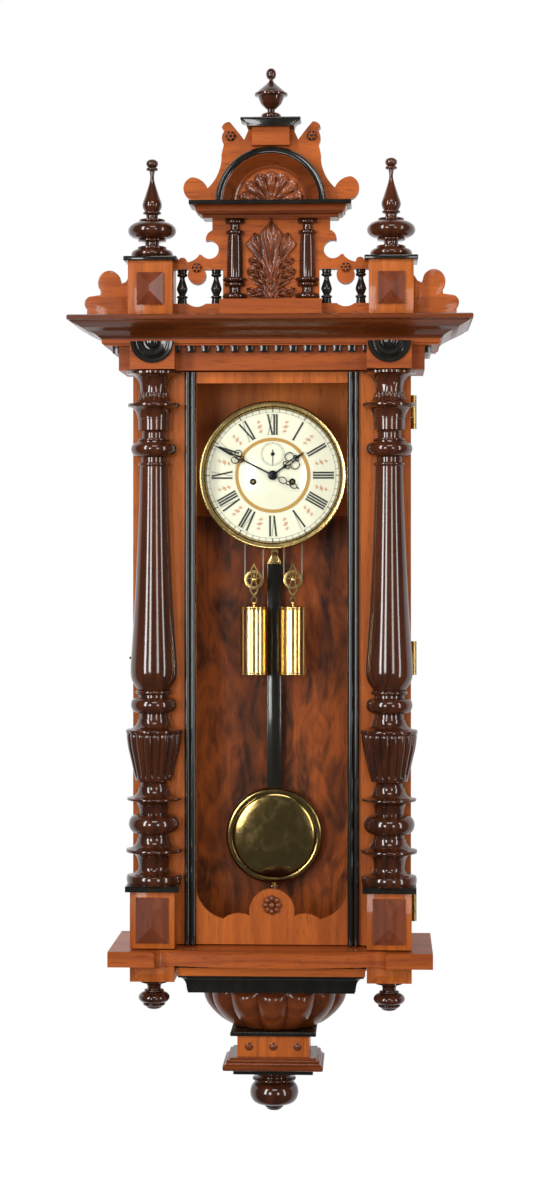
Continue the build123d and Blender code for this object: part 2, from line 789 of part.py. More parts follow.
# Dial with its holes, and the bezel that sits on its rim
square_half = 1.6
winding_hole = 4.3
pipe_radius = arbor_radius + arbor_play + 1.0
with BuildPart() as dial:
    with BuildSketch(upright(dial_back)):
        with Locations((0, dial_z)):
            Circle(dial_radius)
        with Locations((-barrel_x, barrel_z), (barrel_x, barrel_z)):
            Circle(winding_hole, mode=Mode.SUBTRACT)
        with Locations((0, dial_z)):
            Circle(pipe_radius + 0.4, mode=Mode.SUBTRACT)
        with Locations((0, escape_z)):
            Circle(arbor_radius + 0.4, mode=Mode.SUBTRACT)
    extrude(amount=dial_plate)
keep(dial.part, "dial")

bezel_inner = dial_radius - 2.5
with BuildPart() as bezel:
    with BuildSketch(Plane(origin=(0, 0, dial_z), x_dir=(1, 0, 0), z_dir=(0, 0, 1))) as section:
        with BuildLine():
            front = -dial_front - bezel_depth + 4.5
            Polyline((bezel_inner, -dial_front), (bezel_inner + 2.5, front), (bezel_radius - 1, front),
                     (bezel_radius, front + 4), (dial_radius, -dial_back), (dial_radius, -dial_front),
                     close=True)
        make_face()
    revolve(axis=Axis((0, 0, dial_z), (0, 1, 0)))
keep(bezel.part, "bezel")

# Train. The great wheels turn with the barrels; the winding squares show in the dial.
barrel_back = back_plate_front + 5.5
barrel_front = front_plate_y - 7.5
flange = 3.0


def toothed_disc(x, z, y, radius, teeth, depth, thickness):
    """A wheel with pointed teeth, in the plane of the movement."""
    with BuildSketch(upright(y)) as wheel:
        with BuildLine():
            points = []
            for k in range(teeth):
                a = math.tau * k / teeth
                b = math.tau * (k + 0.5) / teeth
                points.append((x + (radius - depth) * math.cos(a), z + (radius - depth) * math.sin(a)))
                points.append((x + radius * math.cos(b), z + radius * math.sin(b)))
            Polyline(*points, close=True)
        make_face()
    extrude(wheel.sketch, amount=thickness)


for side, label in ((-1, "barrel_left"), (1, "barrel_right")):
    x = side * barrel_x
    with BuildPart() as barrel:
        cross_rod(x, barrel_z, back_plate_y - 1, front_plate_front + 0.5, arbor_radius)
        toothed_disc(x, barrel_z, barrel_back - 3.5, great_wheel_radius, great_wheel_teeth, 1.8, 2.0)
        cross_rod(x, barrel_z, barrel_back - 1.5, barrel_back, barrel_radius + flange)
        cross_rod(x, barrel_z, barrel_back, barrel_front, barrel_radius)
        cross_rod(x, barrel_z, barrel_front, barrel_front + 1, barrel_radius + flange)
        box_between(x - square_half, x + square_half, front_plate_front + 0.5, dial_front + 1.5,
                    barrel_z - square_half, barrel_z + square_half)
    keep(barrel.part, label)

# Centre arbor with the minute hand, hour pipe with the hour hand, and the seconds hand on the escape arbor
minute_angle = 153.0  # from +X towards +Z
hour_angle = 36.0
minute_length = 84.0
hour_length = 50.0
minute_tail = 38.0
hour_plane = dial_front + 2.0
hand_thickness = 1.0
minute_plane = hour_plane + hand_thickness + 1.4
centre_wheel_radius = 14.5
hour_wheel_radius = 14.0


def hand_point(angle, along, across, z0):
    """A point beside a hand that points at the angle."""
    a = math.radians(angle)
    return (along * math.cos(a) - across * math.sin(a), z0 + along * math.sin(a) + across * math.cos(a))


def hand_blade(y, angle, stations, z0):
    """A flat hand from half-widths at distances along it."""
    with BuildSketch(upright(y)) as blade:
        with BuildLine():
            left = [hand_point(angle, along, half, z0) for along, half in stations]
            right = [hand_point(angle, along, -half, z0) for along, half in reversed(stations)]
            Polyline(*left, *right, close=True)
        make_face()
    extrude(blade.sketch, amount=hand_thickness)


def hand_eye(y, angle, along, radius, hole, z0):
    """A pierced round in a hand."""
    x, z = hand_point(angle, along, 0, z0)
    cross_rod(x, z, y, y + hand_thickness, radius)
    cross_rod(x, z, y, y + hand_thickness, hole, Mode.SUBTRACT)


with BuildPart() as minute_hand:
    hand_blade(minute_plane, minute_angle, ((0, 2.2), (38, 1.3), (46, 1.3), (76, 0.9),
                                            (minute_length, 0.25)), dial_z)
    hand_blade(minute_plane, minute_angle + 180, ((0, 2.2), (20, 1.2), (minute_tail, 0.8)), dial_z)
    hand_eye(minute_plane, minute_angle, 52, 6.5, 4.6, dial_z)
    hand_eye(minute_plane, minute_angle + 180, minute_tail - 6, 5.0, 3.4, dial_z)
    cross_rod(0, dial_z, minute_plane, minute_plane + hand_thickness, 5.5)
    cross_rod(0, dial_z, back_plate_y - 1, minute_plane + 2, arbor_radius)
    cross_rod(0, dial_z, barrel_front + 2, barrel_front + 3.5, centre_wheel_radius)
keep(minute_hand.part, "minute_hand")

with BuildPart() as hour_hand:
    hand_blade(hour_plane, hour_angle, ((0, 2.6), (24, 1.6), (40, 1.2), (hour_length, 0.3)), dial_z)
    hand_eye(hour_plane, hour_angle, 33, 6.8, 4.8, dial_z)
    cross_rod(0, dial_z, hour_plane, hour_plane + hand_thickness, 6.0)
    cross_rod(0, dial_z, front_plate_front + 1, hour_plane + hand_thickness, pipe_radius)
    cross_rod(0, dial_z, front_plate_front + 1.2, front_plate_front + 3.2, hour_wheel_radius)
    cross_rod(0, dial_z, front_plate_front + 1, hour_plane + hand_thickness, bore, Mode.SUBTRACT)
keep(hour_hand.part, "hour_hand")

seconds_plane = dial_front + 0.5
with BuildPart() as seconds_hand:
    with BuildSketch(upright(seconds_plane)) as blade:
        with BuildLine():
            Polyline((-0.7, escape_z + 5.5), (0.7, escape_z + 5.5), (0.35, escape_z - 15),
                     (-0.35, escape_z - 15),
                     close=True)
        make_face()
    extrude(amount=0.6)
    cross_rod(0, escape_z, seconds_plane, seconds_plane + 0.6, 2.8)
keep(seconds_hand.part, "seconds_hand")

escape_plane = front_plate_y - 10.5
escape_tooth = 3.4
with BuildPart() as escape_wheel:
    with BuildSketch(upright(escape_plane)) as wheel:
        with BuildLine():
            points = []
            for k in range(escape_teeth):
                a = math.tau * k / escape_teeth
                b = math.tau * (k + 0.25) / escape_teeth
                points.append((escape_wheel_radius * math.cos(a),
                               escape_z + escape_wheel_radius * math.sin(a)))
                points.append(((escape_wheel_radius - escape_tooth) * math.cos(b),
                               escape_z + (escape_wheel_radius - escape_tooth) * math.sin(b)))
            Polyline(*points, close=True)
        make_face()
        with Locations((0, escape_z)):
            with PolarLocations(7.0, 4):
                Circle(3.2, mode=Mode.SUBTRACT)
    extrude(amount=1.2)
    cross_rod(0, escape_z, back_plate_y - 1, seconds_plane, arbor_radius)
    cross_rod(0, escape_z, escape_plane - 5, escape_plane, 3.2)
keep(escape_wheel.part, "escape_wheel")

# Anchor above the escape wheel, with its arbor and the crutch that drives the pendulum
pallet_play = 1.6
anchor_thickness = 2.0
crutch_length = 52.0
fork_gap = 0.4
strap_width = 9.0
strap_thickness = 2.4
crutch_y = back_plate_y - 4.0
rise = pivot_z - escape_z
pallet_spread = 12.5
with BuildPart() as anchor:
    cross_rod(0, pivot_z, crutch_y - 1, front_plate_front, arbor_radius)
    cross_rod(0, pivot_z, escape_plane - 0.4, escape_plane + 1.6, 4.5)
    for side in (-1, 1):
        tip_z = escape_z + math.sqrt((escape_wheel_radius + pallet_play) ** 2 - pallet_spread ** 2)
        with BuildSketch(upright(escape_plane - 0.4)) as arm:
            with BuildLine():
                Polyline((0, pivot_z + 3.5), (side * (pallet_spread + 2), pivot_z - 2),
                         (side * (pallet_spread + 2), tip_z),
                         (side * (pallet_spread - 0.5), tip_z + 0.8),
                         (side * (pallet_spread - 1), pivot_z - 5),
                         (0, pivot_z - 1.5), close=True)
            make_face()
        extrude(arm.sketch, amount=anchor_thickness)
    box_between(-2.2, 2.2, crutch_y - 1, crutch_y + 1, pivot_z - crutch_length, pivot_z)
    box_between(-strap_width / 2 - fork_gap - 2, strap_width / 2 + fork_gap + 2, crutch_y - 1, crutch_y + 1,
                pivot_z - crutch_length - 3, pivot_z - crutch_length)
    for side in (-1, 1):
        edge = side * (strap_width / 2 + fork_gap)
        box_between(edge, edge + side * 2, rod_y - 2, crutch_y + 1, pivot_z - crutch_length - 3,
                    pivot_z - crutch_length)
keep(anchor.part, "anchor")

# Pendulum: an eye on the stud, a strap, a three-cornered plate, the ebonised rod, the bob and the rating nut
rod_top = -rod_top_drop
pendulum_tip = shelf_top + tip_clearance
bob_z = pendulum_tip + tip_reach + bob_radius
bob_y = rod_y
rod_foot = bob_z - bob_radius + 9.0
plate_rise = 15.0
with BuildPart() as pendulum_head:
    cross_rod(0, pivot_z, rod_y - 3, rod_y + 3, 5.5)
    box_between(-strap_width / 2, strap_width / 2, rod_y - strap_thickness / 2, rod_y + strap_thickness / 2,
                rod_top + plate_rise - 4, pivot_z - 3)
    with BuildSketch(upright(rod_y - strap_thickness / 2)) as plate:
        with BuildLine():
            Polyline((-rod_width / 2, rod_top), (rod_width / 2, rod_top),
                     (strap_width / 2 - 2, rod_top + plate_rise),
                     (2 - strap_width / 2, rod_top + plate_rise), close=True)
        make_face()
    extrude(plate.sketch, amount=strap_thickness)
    cross_rod(0, pivot_z, rod_y - 3, rod_y + 3, stud_radius_back + arbor_play, Mode.SUBTRACT)
keep(pendulum_head.part, "pendulum_head")

with BuildPart() as pendulum_rod:
    box_between(-rod_width / 2, rod_width / 2, rod_y - rod_thickness / 2, rod_y + rod_thickness / 2,
                rod_foot, rod_top)
    chamfer(pendulum_rod.edges().filter_by(Axis.Z).sort_by(Axis.Y)[:2], length=1.5)
keep(pendulum_rod.part, "pendulum_rod")

bob_face = bob_radius - 9.0
with BuildPart() as pendulum_bob:
    with BuildSketch(Plane(origin=(0, -bob_y, bob_z), x_dir=(1, 0, 0), z_dir=(0, 0, 1))):
        with BuildLine():
            half = bob_thickness / 2
            Polyline((0, half), (bob_face, half), (bob_radius, 1.5), (bob_radius, -1.5), (bob_face, -half),
                     (0, -half))
            Line((0, -half), (0, half))
        make_face()
    revolve(axis=Axis((0, -bob_y, bob_z), (0, 1, 0)))
    box_between(-rod_width / 2, rod_width / 2, rod_y - rod_thickness / 2, rod_y + rod_thickness / 2,
                rod_foot, bob_z + bob_radius + 5, Mode.SUBTRACT)
    upright_rod(0, rod_y, bob_z - bob_radius - 1, rod_foot, 2.0, Mode.SUBTRACT)
keep(pendulum_bob.part, "pendulum_bob")

nut_radius = 5.5
nut_height = 4.0
nut_top = bob_z - bob_radius - 0.4
with BuildPart() as rating_stem:
    upright_rod(0, rod_y, pendulum_tip, rod_foot, 1.9)
keep(rating_stem.part, "rating_stem")

with BuildPart() as rating_nut:
    upright_rod(0, rod_y, nut_top - nut_height, nut_top, nut_radius)
    upright_rod(0, rod_y, nut_top - nut_height, nut_top, 1.9 + pin_play, Mode.SUBTRACT)
keep(rating_nut.part, "rating_nut")

# Weights on pulleys. Each line comes off its barrel, runs round the pulley and ends on a bar of the movement.
weight_top = -weight_top_drop
pulley_z = -pulley_drop
sheave_radius = line_offset - line_radius - line_gap
axle_radius = 1.3
cheek_thickness = 1.2
cheek_gap = 0.4
cheek_width = 5.0
stirrup_foot = pulley_z - pulley_radius - 8.0
hook_ring = 4.3
hook_ring_z = stirrup_foot - 1.0 - hook_ring
cap_lip = 0.9
cap_height = 4.0
spokes = 5

for side, name in ((-1, "left"), (1, "right")):
    x = side * barrel_x
    with BuildPart() as weight:
        turn([step(weight_radius + cap_lip), taper(cap_height, weight_radius + cap_lip),
              step(weight_radius),
              taper(weight_height - 2 * cap_height, weight_radius), step(weight_radius + cap_lip),
              taper(cap_height, weight_radius + cap_lip), step(0)], x, -weight_y, weight_top)
        turn([step(1.6), taper(1.5, 3.2), taper(3, 3.2), taper(1.5, 1.6), step(0)], x, -weight_y,
             weight_top + 6)
        with BuildSketch(upright(weight_y - 0.9)) as loop:
            with Locations((x, hook_ring_z)):
                Circle(hook_ring)
                Circle(hook_ring - 1.6, mode=Mode.SUBTRACT)
        extrude(loop.sketch, amount=1.8)
        upright_rod(x, weight_y, weight_top + 5.5, hook_ring_z - hook_ring + 0.8, 1.0)
    keep(weight.part, f"weight_{name}")

    with BuildPart() as pulley_frame:
        reach = pulley_width / 2 + cheek_gap
        for face in (-1, 1):
            y0 = weight_y + face * reach
            y1 = weight_y + face * (reach + cheek_thickness)
            box_between(x - cheek_width / 2, x + cheek_width / 2, y0, y1, stirrup_foot, pulley_z)
            cross_rod(x, pulley_z, min(y0, y1), max(y0, y1), cheek_width / 2 + 1)
        box_between(x - cheek_width / 2, x + cheek_width / 2, weight_y - reach, weight_y + reach,
                    stirrup_foot, stirrup_foot + 3)
        cross_rod(x, pulley_z, weight_y - reach, weight_y + reach, axle_radius)
        with BuildSketch(upright(weight_y - 0.9)) as eye:
            with Locations((x, stirrup_foot - 0.4)):
                Rectangle(2.4, 0.8)
        extrude(eye.sketch, amount=1.8)
    keep(pulley_frame.part, f"pulley_frame_{name}")

    with BuildPart() as pulley_wheel:
        with BuildSketch(Plane(origin=(x, -weight_y, pulley_z), x_dir=(1, 0, 0),
                               z_dir=(0, 0, 1))) as groove:
            with BuildLine():
                half = pulley_width / 2
                Polyline((0, half), (pulley_radius, half), (sheave_radius, line_radius),
                         (sheave_radius, -line_radius),
                         (pulley_radius, -half), (0, -half), close=True)
            make_face()
        revolve(groove.sketch, axis=Axis((x, 0, pulley_z), (0, 1, 0)))
        with BuildSketch(upright(weight_y - pulley_width / 2)) as windows:
            with Locations((x, pulley_z)):
                with PolarLocations(0.6 * sheave_radius, spokes):
                    RegularPolygon(0.3 * sheave_radius, 3, rotation=180)
        extrude(windows.sketch, amount=pulley_width, mode=Mode.SUBTRACT)
        cross_rod(x, pulley_z, weight_y - pulley_width / 2, weight_y + pulley_width / 2,
                  axle_radius + pin_play,
                  Mode.SUBTRACT)
    keep(pulley_wheel.part, f"pulley_wheel_{name}")

    # The route of the line: down from the barrel, half a turn round the pulley, and up to the bar
    outer_x = x + side * line_offset
    inner_x = x - side * line_offset
    bar_bottom = line_bar_top - line_bar
    with BuildPart() as line:
        upright_rod(outer_x, weight_y, pulley_z, barrel_z, line_radius)
        upright_rod(inner_x, weight_y, pulley_z, bar_bottom, line_radius)
        with BuildSketch(Plane(origin=(inner_x, -weight_y, pulley_z), z_dir=(0, 0, 1))) as section:
            Circle(line_radius)
        revolve(section.sketch, axis=Axis((x, -weight_y, pulley_z), (0, 1, 0)), revolution_arc=-side * 180)
    keep(line.part, f"line_{name}")

# Crest: an openwork board with ears, an arch, half columns, spindles, corner pedestals and finials
crest_back = crest_y - crest_board_thickness
pedestal_x = column_x + crest_pedestal_step
crest_half = crest_pedestal_width / 2
pedestal_inner = pedestal_x - crest_half
crest_pedestal_top = case_top + crest_pedestal_height
pedestal_y = column_y
cornice_z = crest_cornice_base
cornice_top_z = cornice_z + crest_cornice_height
rail_top = case_top + 18.0
rail_dip = 4.0
arm_under = 89.0
arm_top = 98.0
waist = 60.5  # half width of the board between the spindles
upper_half = 74.0
pendant_x = 93.5
pendant_bottom = 70.5
ear_top = 274.0
ear_half = 62.0
board_crown = 265.0
rosette_size = 6.3
crest_plate_overhang = 5.0
scroll = pedestal_inner - crest_plate_overhang - 0.3
dip_half = 11.0
plinth_half = 64.0
plinth_proud = 20.0
crest_column_foot = case_top + 22.0
keystone_half = 23.4
keystone_height = 22.0

with BuildPart() as crest_board:
    with BuildSketch(upright(crest_back)):
        with BuildLine() as outline:
            Polyline((0, case_top), (pedestal_inner, case_top), (pedestal_inner, arm_top))
            Line((pedestal_inner, arm_top), (scroll, arm_top))
            ThreePointArc((scroll, arm_top), (scroll - 5.5, arm_top + 6), (scroll - 11, arm_top))
            ThreePointArc((scroll - 11, arm_top), (98, arm_top + 2.5), (90, 108))
            Line((90, 108), (86.5, 106.5))
            ThreePointArc((86.5, 106.5), (upper_half - 8, 114), (82, 124.5))
            ThreePointArc((82, 124.5), (81, 132), (upper_half, 138))
            Polyline((upper_half, 138), (upper_half, cornice_z), (crest_cornice_half, cornice_z),
                     (crest_cornice_half, cornice_top_z), (93, cornice_top_z), (94, cornice_top_z + 5))
            ThreePointArc((94, cornice_top_z + 5), (110.5, 191), (100, 205))
            ThreePointArc((100, 205), (88, 201), (80, 191))
            ThreePointArc((80, 191), (67, 209), (ear_half + 0.5, 233))
            Line((ear_half + 0.5, 233), (ear_half - 2.5, 246))
            ThreePointArc((ear_half - 2.5, 246), (ear_half, 255), (ear_half - 3.5, 263))
            Line((ear_half - 3.5, 263), (ear_half, 267))
            ThreePointArc((ear_half, 267), (ear_half - 3, 272), (52, ear_top))
            ThreePointArc((52, ear_top), (42, 262), (34, 251.5))
            Line((34, 251.5), (28, board_crown))
            Line((28, board_crown), (0, board_crown))
            mirror(about=Plane.YZ)
        make_face()
        with BuildLine() as window:
            Polyline((waist, rail_top), (waist, arm_under), (pendant_x - 9, arm_under))
            ThreePointArc((pendant_x - 9, arm_under), (pendant_x, pendant_bottom),
                          (pendant_x + 9, arm_under))
            Polyline((pendant_x + 9, arm_under), (pedestal_inner, arm_under), (pedestal_inner, rail_top),
                     (pendant_x + dip_half, rail_top))
            ThreePointArc((pendant_x + dip_half, rail_top), (pendant_x, rail_top - rail_dip),
                          (pendant_x - dip_half, rail_top))
            Line((pendant_x - dip_half, rail_top), (waist, rail_top))
        make_face(mode=Mode.SUBTRACT)
        with BuildLine() as window_left:
            Polyline((-waist, rail_top), (-waist, arm_under), (9 - pendant_x, arm_under))
            ThreePointArc((9 - pendant_x, arm_under), (-pendant_x, pendant_bottom),
                          (-pendant_x - 9, arm_under))
            Polyline((-pendant_x - 9, arm_under), (-pedestal_inner, arm_under), (-pedestal_inner, rail_top),
                     (-pendant_x - dip_half, rail_top))
            ThreePointArc((-pendant_x - dip_half, rail_top), (-pendant_x, rail_top - rail_dip),
                          (dip_half - pendant_x, rail_top))
            Line((dip_half - pendant_x, rail_top), (-waist, rail_top))
        make_face(mode=Mode.SUBTRACT)
    extrude(amount=crest_board_thickness)
    for x, z in ((pendant_x, arm_under + 2), (ear_half - 11, 256)):
        for side in (-1, 1):
            with BuildSketch(upright(crest_y)):
                with Locations((side * x, z)):
                    Circle(rosette_size)
            extrude(amount=4.0, taper=20)
    box_between(-keystone_half, keystone_half, crest_y, crest_y + 12, board_crown - keystone_height,
                board_crown)
    box_between(-plinth_half, plinth_half, crest_y, crest_y + plinth_proud, case_top, crest_column_foot)
keep(crest_board.part, "crest_board")

# Pedestals at the ends of the crest, with near-pointed panels and scrolled wings
crest_panel_width = 32.0
crest_panel_height = 39.0
crest_panel_rise = 11.0
wing_thickness = 14.0
with BuildPart() as crest_pedestals:
    for side in (-1, 1):
        x = side * pedestal_x
        box_between(x - crest_half, x + crest_half, pedestal_y - crest_half, pedestal_y + crest_half,
                    case_top,
                    crest_pedestal_top)
        hipped_panel(x, pedestal_y + crest_half, (case_top + crest_pedestal_top) / 2, crest_panel_width,
                     crest_panel_height, crest_panel_rise, 1.0, 8.0)
        root = side * (pedestal_x + crest_half)
        with BuildSketch(upright(pedestal_y - wing_thickness / 2)):
            with BuildLine():
                Polyline((root, 82), (root, case_top), (root + side * 54, case_top), (root + side * 54, 38))
                ThreePointArc((root + side * 54, 38), (root + side * 57, 49), (root + side * 50, 56))
                Line((root + side * 50, 56), (root + side * 37, 57))
                ThreePointArc((root + side * 37, 57), (root + side * 39, 80), (root + side * 25, 88))
                ThreePointArc((root + side * 25, 88), (root + side * 14, 84), (root + side * 12, 72))
                ThreePointArc((root + side * 12, 72), (root + side * 6, 74), (root, 82))
            make_face()
        extrude(amount=wing_thickness)
keep(crest_pedestals.part, "crest_pedestals")

cap_half_top = 37.5
cap_half_bottom = 29.5
cap_rise = 11.5
with BuildPart() as crest_caps:
    for side in (-1, 1):
        x = side * pedestal_x
        edge = crest_half + crest_plate_overhang
        box_between(x - edge, x + edge, pedestal_y - edge, pedestal_y + edge, crest_pedestal_top,
                    crest_pedestal_top + crest_plate)
    cap_front = crest_y + 22.0
    with BuildSketch(upright(crest_back)):
        with BuildLine():
            Polyline((cap_half_top, board_crown + cap_rise), (-cap_half_top, board_crown + cap_rise),
                     (-cap_half_top, board_crown + cap_rise - 3))
            ThreePointArc((-cap_half_top, board_crown + cap_rise - 3),
                          (-cap_half_bottom - 2, board_crown + 5),
                          (-cap_half_bottom, board_crown))
            Line((-cap_half_bottom, board_crown), (cap_half_bottom, board_crown))
            ThreePointArc((cap_half_bottom, board_crown), (cap_half_bottom + 2, board_crown + 5),
                          (cap_half_top, board_crown + cap_rise - 3))
            Line((cap_half_top, board_crown + cap_rise - 3), (cap_half_top, board_crown + cap_rise))
        make_face()
    extrude(amount=cap_front - crest_back)
keep(crest_caps.part, "crest_caps")

# Small cornice of the crest, returned at its ends
crest_cornice_depth = crest_y + 18.0


def crest_cornice_outline():
    """Section of the crest cornice, outwards and upwards from its face."""
    reach = crest_cornice_reach
    rise = crest_cornice_height
    Line((-2, 0), (2, 0))
    Line((2, 0), (2, 0.16 * rise))
    ThreePointArc((2, 0.16 * rise), (0.32 * reach, 0.4 * rise), (0.6 * reach, 0.5 * rise))
    Line((0.6 * reach, 0.5 * rise), (0.6 * reach, 0.62 * rise))
    Line((0.6 * reach, 0.62 * rise), (reach, 0.76 * rise))
    Line((reach, 0.76 * rise), (reach, rise))
    Line((reach, rise), (-2, rise))
    Line((-2, rise), (-2, 0))


with BuildPart() as crest_cornice:
    run_round(crest_cornice_half, crest_cornice_depth, cornice_z, crest_cornice_outline)
    box_between(-crest_cornice_half, crest_cornice_half, crest_y, crest_cornice_depth, cornice_z,
                cornice_top_z)
    split(bisect_by=Plane(origin=(0, -crest_back, 0), z_dir=(0, -1, 0)), keep=Keep.TOP)
    box_between(-crest_cornice_half, crest_cornice_half, crest_back - 1, crest_y, cornice_z - 1,
                cornice_top_z + 1,
                Mode.SUBTRACT)
keep(crest_cornice.part, "crest_cornice")

# Arch with a black outer band and a deep cove round the carved shell
arch_front = 20.0
with BuildPart() as arch_moulding:
    with BuildSketch(Plane(origin=(0, 0, cornice_top_z), x_dir=(1, 0, 0), z_dir=(0, 0, 1))):
        with BuildLine():
            band_inner = arch_radius - arch_band
            Polyline((cove_inner, -crest_y), (arch_radius, -crest_y),
                     (arch_radius, -crest_y - arch_front + 4),
                     (arch_radius - 2, -crest_y - arch_front), (band_inner + 1, -crest_y - arch_front),
                     (band_inner, -crest_y - arch_front + 3))
            ThreePointArc((band_inner, -crest_y - arch_front + 3), (band_inner - 10, -crest_y - 9),
                          (cove_inner, -crest_y - 3))
            Line((cove_inner, -crest_y - 3), (cove_inner, -crest_y))
        make_face()
    revolve(axis=Axis((0, 0, cornice_top_z), (0, 1, 0)), revolution_arc=-180)
keep(arch_moulding.part, "arch_moulding")


def carved_leaf(x, z, length, width, angle, proud):
    """A pointed leaf on the crest board with sloping sides, from its stalk towards an angle."""
    a = math.radians(angle)
    edge = [(0.3 * length, 0.42 * width), (0.6 * length, 0.5 * width)]
    points = [(0, 0), *edge, (length, 0)] + [(along, -across) for along, across in reversed(edge)]
    with BuildSketch(upright(crest_y)) as leaf:
        with BuildLine():
            Polyline(*[(x + along * math.cos(a) - across * math.sin(a),
                        z + along * math.sin(a) + across * math.cos(a))
                       for along, across in points], close=True)
        make_face()
    extrude(leaf.sketch, amount=proud, taper=22)


# Carved shell under the arch: leaves that fan out from a centre boss
shell_leaves = 9
shell_reach = 40.0
shell_spread = 156.0
with BuildPart() as shell_carving:
    for k in range(shell_leaves):
        angle = (180 - shell_spread) / 2 + shell_spread * k / (shell_leaves - 1)
        carved_leaf(0, cornice_top_z + 2.5, shell_reach * (0.82 + 0.14 * math.sin(math.radians(angle))),
                    9.5, angle, 5.0)
    with BuildSketch(upright(crest_y)) as boss:
        with BuildLine():
            CenterArc((0, cornice_top_z), 12.0, 0, 180)
            Line((-12.0, cornice_top_z), (12.0, cornice_top_z))
        make_face()
    extrude(boss.sketch, amount=6.0)
keep(shell_carving.part, "shell_carving")

# Acanthus carving between the half columns: leaves in pairs along a stem
leaf_half = 32.0
leaf_pairs = 4
leaf_bottom = case_top + 24.0
leaf_height = 90.0
with BuildPart() as leaf_carving:
    box_between(-4, 4, crest_y, crest_y + 5.5, leaf_bottom, leaf_bottom + leaf_height - 6)
    for k in range(leaf_pairs):
        z = leaf_bottom + leaf_height * (k + 0.1) / leaf_pairs
        for angle in (38, 142):
            carved_leaf(0, z, leaf_half * (1.25 - 0.12 * k), 17.0, angle, 6.0)
    carved_leaf(0, leaf_bottom + leaf_height - 22, 30, 15, 90, 6.0)
keep(leaf_carving.part, "leaf_carving")

# Half columns and spindles of the crest
crest_column_x = crest_column_spacing / 2
crest_column_height = cornice_z - crest_column_foot
crest_column_members = [step(10), *bead(6, 12.9, 6.3), taper(4, 6.3), *bead(5, 12.3, 9.4)]
crest_column_base = [*bead(6, 15.8, 12.5), taper(8, 8), *bead(9, 15.8, 13), step(0)]
crest_shaft = crest_column_height - member_height(crest_column_members) - member_height(crest_column_base)
with BuildPart() as crest_columns:
    for side in (-1, 1):
        turn(crest_column_members + [taper(crest_shaft, 10.2)] + crest_column_base, side * crest_column_x,
             -crest_y,
             cornice_z)
    split(bisect_by=Plane(origin=(0, -crest_y, 0), z_dir=(0, -1, 0)), keep=Keep.TOP)
keep(crest_columns.part, "crest_columns")

spindle_height = arm_under - rail_top
spindle_members = [step(6), taper(4, 6), *bead(5, 7.0, 3.4), *bead(22, 6.5, 4.5)]
spindle_y = crest_y - crest_board_thickness / 2
spindle_x = (69.5, 112.5)
with BuildPart() as crest_spindles:
    for side in (-1, 1):
        for x in spindle_x:
            rest = spindle_height - member_height(spindle_members)
            turn(spindle_members + [taper(rest, 6.5), step(0)], side * x, -spindle_y, arm_under)
keep(crest_spindles.part, "crest_spindles")

# Turned finials: one on each pedestal and one on the keystone cap
side_finial = [taper(6, 7.5), *bead(13, 7.4, 2.6), taper(36, 12.3), taper(17, 8.2), taper(9, 27),
               taper(9, 30.2),
               taper(14, 9.6), taper(11.5, 25.9), taper(5, 22), step(0)]
top_finial = [taper(6, 6.2), taper(9, 2.5), taper(11, 18.6), taper(5.5, 20.7), taper(19, 5),
              *bead(12, 12.8, 9),
              step(0)]
side_seat = crest_pedestal_top + crest_plate
top_seat = board_crown + cap_rise
with BuildPart() as crest_finials:
    for side in (-1, 1):
        turn(side_finial, side * pedestal_x, -pedestal_y, side_seat + member_height(side_finial))
    turn(top_finial, 0, -crest_y, top_seat + member_height(top_finial))
keep(crest_finials.part, "crest_finials")
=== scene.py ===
import logging
import math
from dataclasses import dataclass
from enum import Enum
from typing import Callable, Iterable, Optional, Sequence

import bmesh
import bpy
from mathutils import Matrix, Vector


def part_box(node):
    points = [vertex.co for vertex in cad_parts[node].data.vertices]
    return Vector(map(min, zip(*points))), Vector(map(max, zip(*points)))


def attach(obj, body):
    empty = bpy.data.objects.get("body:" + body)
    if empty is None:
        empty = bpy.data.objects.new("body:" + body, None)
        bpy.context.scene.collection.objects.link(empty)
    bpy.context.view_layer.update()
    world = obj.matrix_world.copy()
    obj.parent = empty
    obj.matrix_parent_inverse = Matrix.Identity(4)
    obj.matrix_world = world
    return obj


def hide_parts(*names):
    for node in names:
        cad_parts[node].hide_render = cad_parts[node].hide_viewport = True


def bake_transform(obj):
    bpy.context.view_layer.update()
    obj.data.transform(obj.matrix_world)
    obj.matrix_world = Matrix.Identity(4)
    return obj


# The looks of a weight-driven wall regulator clock.
# The scene is in metres. Profiles and bevels are in millimetres.

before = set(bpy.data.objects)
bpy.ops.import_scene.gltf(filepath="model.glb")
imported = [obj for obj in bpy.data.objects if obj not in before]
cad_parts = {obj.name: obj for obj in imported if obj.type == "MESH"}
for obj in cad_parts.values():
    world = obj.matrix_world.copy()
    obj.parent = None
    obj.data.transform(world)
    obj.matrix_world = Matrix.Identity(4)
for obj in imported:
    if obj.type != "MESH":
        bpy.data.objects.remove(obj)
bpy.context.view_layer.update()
log = logging.getLogger("scene")

MM = 0.001
COLUMN_X = 0.148
COLUMN_Y = -0.123
PEDESTAL_X = 0.1505
FRIEZE_FRONT = -0.125
WEIGHT_X = 0.025
WEIGHT_Y = -0.062
PULLEY_Z = -0.3017
BARREL_Z = -0.1768
DIAL_Z = -0.1684
SECONDS_Z = -0.1414
Point2 = tuple[float, float]
Colour = tuple[float, float, float]


def paint(red: int, green: int, blue: int) -> Colour:
    """Turn a screen colour into the linear colour that a shader takes.

    Args:
        red: Red from 0 to 255.
        green: Green from 0 to 255.
        blue: Blue from 0 to 255.

    Returns:
        The linear colour.
    """
    return tuple(((channel / 255 + 0.055) / 1.055) ** 2.4 for channel in (red, green, blue))


# Shader building

